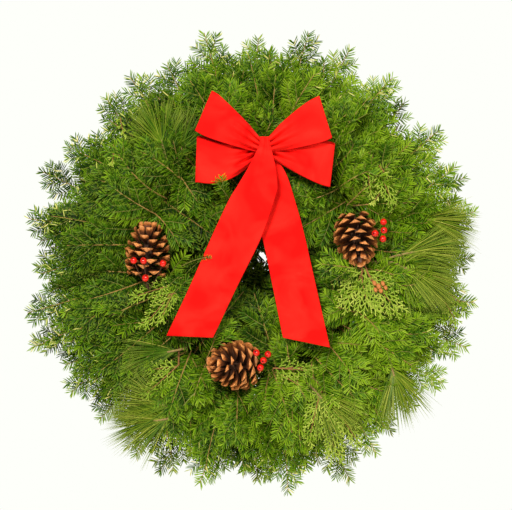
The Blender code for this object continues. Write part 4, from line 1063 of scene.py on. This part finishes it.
def cone_parts(centre, axis, half, rng, turn):
    """Parts for the scales and the core of one cone."""
    half_length, half_width = half
    axis = unit(axis)
    side = unit(np.cross(axis, [0.0, -1.0, 0.05]))
    other = np.cross(axis, side)
    parts = []
    for number in range(CONE_SCALES):
        share = (number + 0.5) / CONE_SCALES
        height = SCALES_FROM + SCALES_SPAN * share
        angle = math.radians(GOLDEN_ANGLE * number + turn)
        out_flat = side * math.cos(angle) + other * math.sin(angle)
        reach = half_width * math.sqrt(max(0.04, 1 - abs(height + 0.12) ** 2.3)) * rng.uniform(0.95, 1.03)
        tilt = FIRST_TILT + EVEN_TILT * share + TIP_TILT * share**4 + rng.normal(0, TILT_SPREAD)
        tilt = math.radians(tilt)
        out = unit(out_flat * math.cos(tilt) + axis * math.sin(tilt))
        up = unit(axis * math.cos(tilt) - out_flat * math.sin(tilt))
        core = CORE_R * (1 - 0.5 * share)
        length = min(max(7.0, (reach - core) / max(0.35, math.cos(tilt))), half_width)
        root = centre + axis * (height * half_length - length * math.sin(tilt) * 0.55) + out_flat * core
        across = np.cross(axis, out_flat)
        width = END_SCALE_WIDE + MIDDLE_SCALE_WIDER * math.sin(math.pi * min(1.0, share * 1.1 + 0.1))
        width *= rng.uniform(0.88, 1.12)
        parts.append(cone_scale(root, out, across, up, length, width, rng.uniform(0.1, 0.9), rng))
    foot, top = centre - axis * half_length * 0.86, centre + axis * half_length * 0.74
    core_path = np.array([foot, (foot + centre) / 2, centre, (centre + top) / 2, top])
    parts.append(tube_batch(core_path, CORE_RADII, side, WHOLE_ROW, rng, 10, slot=1))
    return parts


print("scales on a cone", CONE_SCALES)

# %% [markdown]
# ## Cone scale finish
#
# The wood of a cone scale is dark brown where it was closed and never saw the sun, and orange-tan on the
# lip, which weathered while the cone grew. Towards the core its colour goes almost black, which is painted
# shade in the deep gaps between the scales. It is dry wood, so it is dull, with a little gloss of resin on
# the lips. Real grain is finer than a render shows, so its patches are drawn 2.4 mm apart, broken up by
# finer ones.

# %% Cone material
GRAIN_APART = 2.381


def cone_material(name, stops, roughness):
    """Dry wood that is dark inside, with painted shade towards the core, and pale at the lip, with each scale
    a little lighter or darker.
    """
    material, tree, shader = new_material(name)
    along, shade = map_place(tree)
    # Along each scale: the wood's own colours, and towards the core painted shade between the scales.
    body = pick_tint(tree, stops, along)
    grain = uneven(tree, GRAIN_APART, 3.0)
    colour = lay_over(tree, lay_over(tree, body, "#3a2012", 0.55), body, grain, 0.38, 0.68)
    colour = lay_over(tree, colour, "#2a150c", shade, 0.9, -1.8)
    bump = add_node(tree, "ShaderNodeBump", {"Height": grain, "Strength": 0.35, "Distance": 0.6 * MM})
    set_inputs(tree, shader, {"Base Color": colour, "Normal": bump.outputs[0], "Roughness": roughness,
                              "Specular IOR Level": 0.35})
    return material


# The first stop, almost black at the core, is painted shade between the scales.
CONE_WOOD_AND_SHADE_STOPS = ((0.0, "#1a0d07"), (0.45, "#3a2014"), (0.72, "#7a4424"), (0.84, "#dc8440"), (0.97, "#f4a25e"))
cone_wood = cone_material("pine cone scale, dry wood", CONE_WOOD_AND_SHADE_STOPS, 0.55)
core_wood = bark_material("pine cone core, dark wood", "#4a2c1a", "#24130a", 0.85)
total = 0
for number, (name, (centre, axis, half)) in enumerate(CONES.items()):
    parts = cone_parts(centre, axis, half, np.random.default_rng(500 + number), 40.0 * number)
    piece = add_piece(f"cone_{name}", parts, (cone_wood, core_wood), f"pine_cone_{name}")
    total += triangles_in(piece)
print("cone triangles", total)

# %% [markdown]
# ## Berry picks
#
# The berries on a pick are glossy lacquered balls about 10 mm across on thin wire stems that are twisted
# together at one end. Each has a small dark dimple where the flower was. The ball is a grid wrapped round a
# sphere with a shallow dimple pressed into it.

# %% Berries and their stems
HUBS = {"left": (-152.0, -40.0, -80.0), "right": (190.0, 44.0, -66.0), "bottom": (19.0, -141.0, -66.0)}
STEM_R = 0.55
# The dimple's depth and width as shares of the radius, and how much longer than wide a berry is.
DIMPLE, DIMPLE_WIDTH, BERRY_LONGER = 0.16, 0.10, 1.05


def ball(centre, radius, dimple_way, rng, rows=14, columns=20):
    """A batch for a ball with a dimple. Its map runs from the dimple to the stem."""
    way = unit(dimple_way)
    side = unit(np.cross(way, [0.3, 0.2, 1.0]))
    other = np.cross(way, side)
    share = np.linspace(0.04, 0.985, rows)
    theta = share * math.pi
    swell = 1 - DIMPLE * np.exp(-((share / DIMPLE_WIDTH) ** 2)) + rng.normal(0, 0.004, rows)
    phi = np.arange(columns) * 2 * math.pi / columns
    flat = np.cos(phi)[None, :, None] * side + np.sin(phi)[None, :, None] * other
    points = centre + radius * swell[:, None, None] * (
        np.cos(theta)[:, None, None] * way * BERRY_LONGER + np.sin(theta)[:, None, None] * flat)
    faces, row, around = [corners[:, [0, 3, 2, 1]] for corners in skin(rows, columns)]
    places = np.stack([share[row], around / columns], 2)
    end_places = np.stack([np.repeat([[0.02], [0.98]], columns, 1), np.full((2, columns), 0.5)], 2)
    return points.reshape(-1, 3), [(faces, places, 0), (end_faces(rows, columns)[:, ::-1], end_places, 0)]


def berry_parts(name, rng):
    """Parts for the berries of one pick, their stems and the stem that they share."""
    hub = xz(*HUBS[name])
    centre = CONES[name][0]
    parts = []
    for place in BERRIES[name]:
        berry = xz(*place)
        way = unit(berry - hub)
        bow_out = unit(berry - centre) * 5.0
        stem = curve_through(hub, (hub + berry) / 2 + bow_out, berry - way * BERRY_R * 0.6, 3.0)
        parts.append(tube_batch(stem, np.full(len(stem), STEM_R), TOWARDS_VIEWER, WHOLE_ROW, rng, 6))
        parts.append(ball(berry, BERRY_R, way + rng.normal(0, 0.25, 3) + TOWARDS_VIEWER * 0.3, rng))
    foot = hub + (centre - hub) * 0.45
    stem = np.array([hub, (hub + foot) / 2, foot])
    parts.append(tube_batch(stem, np.full(3, STEM_R * 1.5), TOWARDS_VIEWER, WHOLE_ROW, rng, 6))
    return parts


print("berries on a pick", [len(places) for places in BERRIES.values()])

# %% [markdown]
# ## Berry lacquer and stem wire
#
# The lacquer is a clear gloss over red paint, so it has a coat with a low roughness that catches the light
# as one small bright spot. The red is deeper towards the dimple, which is almost black. The stems are wire
# wrapped in brown paper tape.

# %% Berry materials
BERRY_STOPS = ((0.0, "#120404"), (0.07, "#2a0505"), (0.11, "#b80b06"), (0.7, "#e6120a"), (1.0, "#a80a06"))


def berry_material():
    """Red paint under a clear coat, almost black in the dimple."""
    material, tree, shader = new_material("red lacquered berry")
    along, _ = map_place(tree)
    body = pick_tint(tree, BERRY_STOPS, along)
    colour = lay_over(tree, body, "#f4260f", uneven(tree, 6.25, 2.0), 0.55, 0.9)
    set_inputs(tree, shader, {"Base Color": colour, "Roughness": 0.28, "Specular IOR Level": 0.25,
                              "Coat Weight": 0.6, "Coat Roughness": 0.06})
    return material


berry_red = berry_material()
stem_tape = bark_material("brown paper tape on wire", "#4a2c14", "#2c180a", 0.85)
total = 0
for number, name in enumerate(BERRIES):
    parts = berry_parts(name, np.random.default_rng(600 + number))
    materials = (berry_red, stem_tape)
    piece = add_piece(f"berries_{name}", parts, materials, f"berry_pick_{name}", smooth=True)
    total += triangles_in(piece)
print("berry triangles", total)

# %% [markdown]
# ## Seed cones on the cedar
#
# Northern white cedar carries small seed cones, 8 to 10 mm long, in clusters where its fans branch. They
# ripen from yellow-green to a light brown. A cluster of six sits on the stem of the right spray. Each is an
# egg shape whose side is pulled in between four pairs of scales.

# %% Seed cones
SEED_CONES = ((171.0, -30.0, 3.3), (177.0, -34.5, 3.7), (183.0, -30.5, 3.2),
              (180.0, -40.5, 3.4), (187.0, -36.5, 3.0), (172.5, -39.5, 3.0))
SEED_Y = -78.0
SEED_AXIS = np.array([0.3, -0.4, -0.87])
# A seed cone is longer than wide by this share, and its grooves are this deep.
SEED_LONGER, SEED_GROOVE = 0.35, 0.12


def seed_cone(x, z, size, rng):
    """Parts for one closed seed cone, its axis leaning a little out of the spray."""
    centre = xz(x, z, SEED_Y + rng.uniform(-1.5, 1.5))
    points, batches = ball(np.zeros(3), size, TOWARDS_VIEWER, rng, 12, 16)
    length = points @ unit(SEED_AXIS)
    angle = np.arctan2(points @ TOWARDS_VIEWER, points @ np.array([1.0, 0.0, 0.0]))
    groove = 1 - SEED_GROOVE * (0.5 + 0.5 * np.cos(4 * angle + 3 * length / size))
    return centre + points * groove[:, None] + SEED_AXIS * (SEED_LONGER * length)[:, None], batches


seed_wood = bark_material("cedar seed cone, ripe scales", "#cc7f3c", "#80481c", 0.7)
rng = np.random.default_rng(640)
parts = [seed_cone(*each, rng) for each in SEED_CONES]
seeds = add_piece("cedar_seed_cones", parts, (seed_wood,), smooth=True)
print("seed cones", len(SEED_CONES), "with", triangles_in(seeds), "triangles")

# %% [markdown]
# ## The velvet bow
#
# The bow is tied from red velvet ribbon 2.5 inches wide. Two rings of ribbon are pressed flat, laid on each
# other and pinched in the middle, which gives four loops, and a folded length hangs from the pinch as two
# tails. Where it is pinched the ribbon gathers into pleats that fade out towards the edges of the loops.
# Cloth simulation can make such pleats, but stiff outdoor ribbon holds the shape that the maker gave it, so
# each ribbon is drawn as a grid of points along its own length, with the pleats added as waves.

# %% Ribbon grids
RIBBON_THICK = 0.9
PINCH = 8.7
BOW_KNOT = xz(12.8, 163.8)
# The points across a ribbon, from one edge to the other.
ACROSS = np.linspace(-1.0, 1.0, 33)


def add_ribbon(name, grid):
    """A ribbon from a grid of points, as a sheet that replaces its solid."""
    rows, columns = grid.shape[:2]
    j, k = np.meshgrid(np.arange(rows - 1), np.arange(columns - 1), indexing="ij")
    a = (j * columns + k).ravel()
    quads = np.stack([a, a + 1, a + 1 + columns, a + columns], 1)
    u = inset(np.stack([k, k + 1, k + 1, k], 2).reshape(-1, 4) / (columns - 1))
    v = inset(np.stack([j, j, j + 1, j + 1], 2).reshape(-1, 4) / (rows - 1))
    parts = [(grid.reshape(-1, 3), [(quads, np.stack([u, v], 2), 0)])]
    piece = add_piece(f"ribbon_{name}", parts, (velvet,), f"bow_{name}", smooth=True)
    thick = piece.modifiers.new("thickness", "SOLIDIFY")
    thick.thickness = RIBBON_THICK * MM
    thick.offset = 0.0
    length = np.linalg.norm(np.diff(grid[:, columns // 2], axis=0), axis=1).sum()
    print(piece.name, "is", round(length), "mm long at its middle")


def pleats(share, turns, phase, deep):
    """How far the pleats push the ribbon at each place across it, deepest near the pinch."""
    fade = deep * math.exp(-((share / 0.40) ** 2)) * min(1.0, share / 0.08)
    return fade * np.sin(math.pi * turns * ACROSS + phase)


print("points across a ribbon", len(ACROSS))

# %% [markdown]
# ## Velvet
#
# Velvet is a woven base with a short upright pile. The pile swallows light that meets it head-on and
# shines where it is seen edge-on, so it has no gloss but a soft sheen of its own colour. Where a hand has
# brushed it, the pile leans and the red looks a little lighter or darker. These patches are painted into the
# colour: partly the brushed pile, partly painted sheen. The pile is under 1 mm, so its grain is drawn about
# 1.4 mm wide here, as coarse as it needs to be to show. A finely woven edge runs down both sides.

# %% Velvet material
PILE_APART, BRUSHED_SHEEN_APART = 1.4286, 62.5


def velvet_material():
    """Velvet with patches where the pile leans, painted lighter and darker partly as sheen, a grain of pile
    and a darker woven edge on both sides.
    """
    material, tree, shader = new_material("red velvet ribbon, short pile")
    pile = uneven(tree, PILE_APART, 2.0)
    brushed_sheen = uneven(tree, BRUSHED_SHEEN_APART, 2.0, 1.2)
    # Patches of a darker and a lighter red: brushed pile, and in part painted sheen.
    colour = lay_over(tree, "#da0806", "#ff2119", brushed_sheen, 0.35, 0.62)
    colour = lay_over(tree, lay_over(tree, colour, "#b80604", 0.25), colour, pile, 0.30, 0.62)
    across, _ = map_place(tree)
    off_middle = add_node(tree, "ShaderNodeMath", {0: across, 1: 0.5}, operation="SUBTRACT").outputs[0]
    to_edge = add_node(tree, "ShaderNodeMath", {0: off_middle}, operation="ABSOLUTE").outputs[0]
    colour = lay_over(tree, colour, "#c90806", to_edge, 0.452, 0.462)
    bump = add_node(tree, "ShaderNodeBump", {"Height": pile, "Strength": 0.25, "Distance": 0.5 * MM})
    set_inputs(tree, shader, {"Base Color": colour, "Normal": bump.outputs[0], "Roughness": 0.9,
                              "Specular IOR Level": 0.12, "Sheen Weight": 0.25, "Sheen Roughness": 0.4,
                              "Sheen Tint": "#ff5040"})
    return material


velvet = velvet_material()
print("made", velvet.name)

# %% The loops
UPPER_LEFT = (xz(-56.8, 242.0), xz(-81.0, 185.1))
UPPER_RIGHT = (xz(86.8, 234.9), xz(105.2, 175.2))
LOWER_LEFT = (xz(-78.1, 176.6), xz(-80.3, 114.1))
LOWER_RIGHT = (xz(109.5, 167.4), xz(102.4, 107.7))
# The depths of a layer: its front and its rear at the pinch, both at their middle, and the fold.
UPPER_DEPTHS = (-106.5, -101.5, -112.0, -101.5, -105.0)
LOWER_DEPTHS = (-94.5, -90.5, -99.0, -87.5, -92.5)
# For the left and the right loop: how full its upper and its lower edge are, and how far it sags.
UPPER_FULLNESS = ((1.1, 1.3, 0.0), (1.5, 1.25, 0.0))
LOWER_FULLNESS = ((1.3, 1.7, 11.0), (1.3, 1.45, 0.0))
# A loop has these rows to its fold, which is set back a little, and these rows round it.
LOOP_ROWS, LOOP_END = 30, 0.985
FOLD_ROWS, FOLD_R, FOLD_OUT = 6, 5.0, 2.9
# The pleats in front are deep and those at the rear shallow. Between its edges the ribbon crowns a little.
PLEAT_DEPTH, REAR_PLEATS, PLEAT_TURNS, CROWN = 8.0, -1.6, 3.2, 2.4
# Shares of the way to the fold: where a loop is fully wide, and where its rows lie parallel to the fold.
FULL_FROM, SQUARE_FROM = 0.92, 0.3


def loop_rows(corners, depths, phase, open_up, fullness):
    """Rows of points from the pinch along the front to the fold and back along the rear."""
    corner_a, corner_b = corners
    upper_fullness, lower_fullness, sag = fullness
    fold = (corner_a + corner_b) / 2
    half = (corner_a - corner_b) / 2
    out = unit((fold - BOW_KNOT) * IN_PLANE)
    front_y, back_y, middle_front, middle_back, fold_y = depths
    rows = []

    def row(share, y_knot, y_middle, y_fold, deep, shift):
        swell = math.sin(math.pi * min(1.0, share))
        centre = BOW_KNOT + (fold - BOW_KNOT) * share - np.array([0.0, 0.0, sag * swell])
        depth = y_knot + (y_fold - y_knot) * share + (y_middle - (y_knot + y_fold) / 2) * swell
        opened = 1 - min(1.0, share / FULL_FROM)
        power = np.where(ACROSS > 0, upper_fullness, lower_fullness)
        wide = PINCH + (np.linalg.norm(half) - PINCH) * (1 - opened**power)
        turned = min(1.0, share / SQUARE_FROM)
        lean = unit(unit(half) * turned + np.array([0.0, 0.0, 1.0]) * (1 - turned))
        crown = CROWN * math.sin(math.pi * share) * (1 - ACROSS**2)
        push = pleats(share, PLEAT_TURNS, phase, deep) + crown * deep / PLEAT_DEPTH
        line = centre + lean * (ACROSS * wide)[:, None] + TOWARDS_VIEWER * push[:, None]
        line[:, 1] += depth
        line[:, 2] += shift * share * np.clip(ACROSS, 0, 1)
        return line

    shares = np.linspace(0.0, LOOP_END, LOOP_ROWS)
    for share in shares:
        rows.append(row(share, front_y, middle_front, fold_y - FOLD_R, PLEAT_DEPTH, 0.0))
    for turn in np.linspace(0.15, 0.85, FOLD_ROWS) * math.pi:
        line = fold + out * math.sin(turn) * FOLD_OUT + half * ACROSS[:, None]
        line[:, 1] += fold_y - FOLD_R * math.cos(turn)
        line[:, 2] += open_up * (0.5 - 0.5 * math.cos(turn)) * np.clip(ACROSS, 0, 1)
        rows.append(line)
    for share in shares[::-1]:
        rows.append(row(share, back_y, middle_back, fold_y + FOLD_R, REAR_PLEATS, open_up))
    return rows


def make_loops(name, left, right, depths, phase, open_up, fullness):
    """Both loops of one layer as a single ribbon, from the left fold to the right one."""
    left_rows = loop_rows(left, depths, phase, open_up, fullness[0])
    right_rows = loop_rows(right, depths, phase + 1.3, open_up, fullness[1])
    shift = np.array([1.6, 0.0, 0.0])
    grid = [line - shift for line in left_rows] + [line + shift for line in right_rows[::-1]]
    add_ribbon(name, np.array(grid))


make_loops("upper_loops", UPPER_LEFT, UPPER_RIGHT, UPPER_DEPTHS, 0.4, 0.0, UPPER_FULLNESS)
make_loops("lower_loops", LOWER_LEFT, LOWER_RIGHT, LOWER_DEPTHS, 2.0, 4.0, LOWER_FULLNESS)

# %% The tails
TAIL_ROWS = 72
# How deep the ribbon gathers at the pinch and waves further down, how often across its width, and the
# share of its length over which the gathers fade.
GATHER_DEEP, GATHER_TURNS, GATHER_FADE = 1.5, 2.4, 0.22
WAVE_DEEP, WAVE_TURNS = 1.3, 1.1
# Across each tail, from the pinch down: its left edge, its right edge and its depth.
LEFT_TAIL = (
    ((6.2, 177.9), (20.4, 177.9), -111.6),
    ((5.8, 166.0), (22.0, 166.0), -112.7),
    ((-7.6, 138.0), (28.6, 138.0), -112.7),
    ((-24.2, 109.4), (32.0, 109.4), -111.0),
    ((-36.9, 88.5), (29.9, 95.6), -109.0),
    ((-61.1, 37.3), (10.0, 37.3), -103.0),
    ((-95.2, -39.5), (-26.2, -36.6), -96.0),
    ((-126.5, -104.9), (-59.7, -107.7), -88.0),
)
RIGHT_TAIL = (
    ((4.0, 152.0), (29.0, 152.0), -88.6),
    ((-4.2, 124.0), (45.5, 124.0), -88.6),
    ((-7.1, 81.4), (58.3, 84.2), -89.0),
    ((10.0, 35.9), (69.7, 43.0), -90.0),
    ((25.6, -36.6), (87.5, -35.2), -89.0),
    ((39.8, -107.7), (107.4, -121.9), -84.0),
)


def smooth_rows(values, count):
    """Values at even steps along a smooth curve through the given ones."""
    values = np.asarray(values, float)
    padded = np.concatenate([2 * values[:1] - values[1:2], values, 2 * values[-1:] - values[-2:-1]])
    t = np.linspace(0, len(values) - 1, count)
    j = np.minimum(t.astype(int), len(values) - 2)
    s = (t - j)[:, None]
    a, b, c, d = padded[j], padded[j + 1], padded[j + 2], padded[j + 3]
    return 0.5 * (2 * b + (c - a) * s + (2 * a - 5 * b + 4 * c - d) * s**2 + (3 * b - a - 3 * c + d) * s**3)


def make_tail(name, edges, phase):
    """One tail between its two edges, with gathers at the pinch and a few waves below."""
    left = smooth_rows([xz(*a, y) for a, _, y in edges], TAIL_ROWS)
    right = smooth_rows([xz(*b, y) for _, b, y in edges], TAIL_ROWS)
    rows = []
    for number, (a, b) in enumerate(zip(left, right)):
        share = number / (TAIL_ROWS - 1)
        line = (a + b) / 2 + (b - a) / 2 * ACROSS[:, None]
        gather = np.sin(math.pi * GATHER_TURNS * ACROSS + phase)
        wave = np.sin(math.pi * WAVE_TURNS * ACROSS + phase + 3.0 * share)
        deep = GATHER_DEEP * math.exp(-((share / GATHER_FADE) ** 2))
        line[:, 1] += deep * gather + WAVE_DEEP * math.sin(math.pi * share) * wave
        rows.append(line)
    add_ribbon(name, np.array(rows))


make_tail("tail_left", LEFT_TAIL, 0.6)
make_tail("tail_right", RIGHT_TAIL, 1.8)

# %% [markdown]
# ## Wires
#
# Four kinds of wire hold the wreath together: the ring itself, a thick steel wire in a green plastic coat;
# thin green paddle wire wound round the stems; and florist wire that ties each cone and the bow. All are
# drawn wire with a thin paint or plastic skin, so they are smooth with a soft gloss.

# %% Wire finishes
CHIPS_APART = 3.846


def wire_material(name, colour, worn, roughness):
    """Painted wire: small chips and dull places in an even coat."""
    material, tree, shader = new_material(name)
    chips = uneven(tree, CHIPS_APART, 4.0)
    coat = lay_over(tree, colour, worn, chips, 0.58, 0.66)
    bump = add_node(tree, "ShaderNodeBump", {"Height": chips, "Strength": 0.15, "Distance": 0.2 * MM})
    set_inputs(tree, shader, {"Base Color": coat, "Normal": bump.outputs[0], "Roughness": roughness})
    return material


ring_coat = wire_material("green plastic coat on steel wire", "#1e4a24", "#2d5c30", 0.4)
paddle_wire = wire_material("green painted paddle wire", "#2a5630", "#6b6f5a", 0.45)
florist_wire = wire_material("green painted florist wire", "#27502c", "#7a7c6c", 0.45)
print("made", ring_coat.name, "and two more")

# %% Wire pieces
RING_STEPS = 144
PADDLE_R = 0.6
# Each bunch has this many turns round the ring, over a stretch in degrees, with steps to a turn.
WRAPS, WRAP_SPAN, WRAP_STEPS = 3, 3.6, 14
WRAP_HALF_WIDTH, WRAP_HALF_DEPTH = 4.4, 9.0
WRAP_FROM = 7.4


def closed_tube(path, radius, sides=12):
    """A batch for a round tube along a closed path."""
    count = len(path)
    along = unit(np.roll(path, -1, 0) - np.roll(path, 1, 0))
    side = unit(np.cross(along, TOWARDS_VIEWER))
    points = rings(path, np.cross(side, along), side, np.full(count, radius), sides)
    faces, up, around = skin(count + 1, sides)
    return points, [(faces % (count * sides), np.stack([up / count, around / sides], 2), 0)]


def wrap_path():
    """The binding wire's way: a few turns round the stems of each bunch, then along the ring to the next."""
    path = []
    for number in range(SECTORS):
        start = SECTOR_ANGLE * (number + 0.5) - WRAP_FROM
        for share in np.linspace(0, 1, WRAP_STEPS * WRAPS + 1):
            turn = 2 * math.pi * WRAPS * share + math.pi / 2
            radius = RING_R + WRAP_HALF_WIDTH * math.cos(turn)
            path.append(polar(start + WRAP_SPAN * share, radius, WRAP_HALF_DEPTH * math.sin(turn)))
        for share in (0.2, 0.4, 0.6, 0.8):
            angle = start + WRAP_SPAN + (SECTOR_ANGLE - WRAP_SPAN) * share
            path.append(polar(angle, RING_R - 1.0, WRAP_HALF_DEPTH * (1 - 0.5 * math.sin(math.pi * share))))
    return np.array(path)


ring_path = np.array([polar(a, RING_R, 0.0) for a in np.linspace(0, 360, RING_STEPS + 1)[:-1]])
ring = [closed_tube(ring_path, RING_WIRE_R)]
add_piece("ring_wire", ring, (ring_coat,), "ring_frame", smooth=True)
turns = [closed_tube(wrap_path(), PADDLE_R, 6)]
add_piece("paddle_wire_turns", turns, (paddle_wire,), "binding_wire", smooth=True)

# %% The tie of the bow and the cone wires
TIE_ANGLE = 85.0
TIE_R, TIE_STEPS = 0.9, 60
# From above the ring round the bow's middle and back to below the ring: depths, and heights from the knot.
TIE_ROUTE = ((-60.0, 7.0), (-92.0, 10.2), (-107.0, 10.2), (-110.6, 7.0),
             (-110.6, -7.0), (-107.0, -10.2), (-92.0, -10.2), (-60.0, -12.5))
above = polar(TIE_ANGLE, RING_R + RING_WIRE_R + 1.35, -0.5)
below = polar(TIE_ANGLE, RING_R - RING_WIRE_R - 1.35, -0.5)
x, _, z = BOW_KNOT
tie_path = smooth_rows([above, *[(x, y, z + height) for y, height in TIE_ROUTE], below], TIE_STEPS)
rng = np.random.default_rng(700)
tie = tube_batch(tie_path, np.full(TIE_STEPS, TIE_R), np.array([1.0, 0.0, 0.0]), WHOLE_ROW, rng, 8, slot=0)
add_piece("bow_tie", [tie], (florist_wire,), "bow_tie_wire", smooth=True)
for name in CONES:
    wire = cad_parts[f"cone_wire_{name}"]
    wire.data.materials.clear()
    wire.data.materials.append(florist_wire)
print("ring, turns and tie made")

# %% [markdown]
# ## Floor, light and camera
#
# The photograph was taken straight on, against a bright white wall, in soft light from above and in
# front. A pale floor lies well below the hanging wreath.

# %% Light
WALL_WHITE = "#fefffa"
ROOM_WARM, ROOM_LIGHT = "#fff3d6", 0.36
LAMP_WARM = "#fffaec"
# Each lamp's place, its width in metres and its power in watts.
LAMPS = {
    "key": ((-0.6, -2.7, 1.1), 0.8, 112.0),
    "fill": ((1.3, -2.7, 0.5), 1.5, 30.0),
    "behind": ((0.9, 2.6, 1.2), 1.5, 60.0),
}
MIDDLE = Vector((0.0, 0.0, RING_Z * MM))


def light_room():
    """A warm, dim room light, behind which the camera sees the white wall."""
    world = bpy.data.worlds.new("white studio")
    bpy.context.scene.world = world
    world.use_nodes = True
    tree = world.node_tree
    wall = tree.nodes["Background"]
    set_inputs(tree, wall, {"Color": WALL_WHITE, "Strength": 1.0})
    room = add_node(tree, "ShaderNodeBackground", {"Color": ROOM_WARM, "Strength": ROOM_LIGHT})
    seen = add_node(tree, "ShaderNodeLightPath").outputs["Is Camera Ray"]
    both = add_node(tree, "ShaderNodeMixShader", {0: seen, 1: room.outputs[0], 2: wall.outputs[0]})
    set_inputs(tree, tree.nodes["World Output"], {"Surface": both.outputs[0]})


def add_lamp(name, place, size, power):
    """A round area light that points at the ring's middle."""
    light = bpy.data.lights.new(name, "AREA")
    light.shape = "DISK"
    light.size = size
    light.energy = power
    light.color = linear(LAMP_WARM)[:3]
    lamp = bpy.data.objects.new(name, light)
    lamp.location = place
    lamp.rotation_euler = (MIDDLE - Vector(place)).to_track_quat("-Z", "Y").to_euler()
    bpy.context.scene.collection.objects.link(lamp)


light_room()
for name, (place, size, power) in LAMPS.items():
    add_lamp(name, place, size, power)

# %% Floor
FLOOR_DROP, FLOOR_R = 0.95, 1.6
floor_mesh = bpy.data.meshes.new("floor")
shape = bmesh.new()
bmesh.ops.create_circle(shape, cap_ends=True, segments=96, radius=FLOOR_R)
shape.to_mesh(floor_mesh)
shape.free()
floor = bpy.data.objects.new("floor", floor_mesh)
floor.location = (0.0, 0.0, RING_Z * MM - FLOOR_DROP)
bpy.context.scene.collection.objects.link(floor)
floor_paint, tree, shader = new_material("pale studio floor")
patches = add_node(tree, "ShaderNodeTexNoise", {"Scale": 3.0}).outputs["Fac"]
paint = lay_over(tree, "#f4f3ee", "#fbfaf6", patches, 0.3, 0.7)
set_inputs(tree, shader, {"Base Color": paint, "Roughness": 0.9})
floor.data.materials.append(floor_paint)
print("floor is", FLOOR_DROP, "m below the ring's middle")

# %% Camera
CAMERA_AT = (0.0015, -3.0, -0.1397)
LENS, SENSOR = 143.5, 36.0
camera = bpy.data.objects.new("camera", bpy.data.cameras.new("camera"))
camera.location = CAMERA_AT
camera.rotation_euler = (math.radians(90.0), 0.0, 0.0)
camera.data.lens = LENS
camera.data.sensor_width = SENSOR
bpy.context.scene.collection.objects.link(camera)
bpy.context.scene.camera = camera
bpy.context.scene.view_settings.view_transform = "Standard"
print("camera 3 m in front, frame width in mm", round(-CAMERA_AT[1] / MM * SENSOR / LENS))
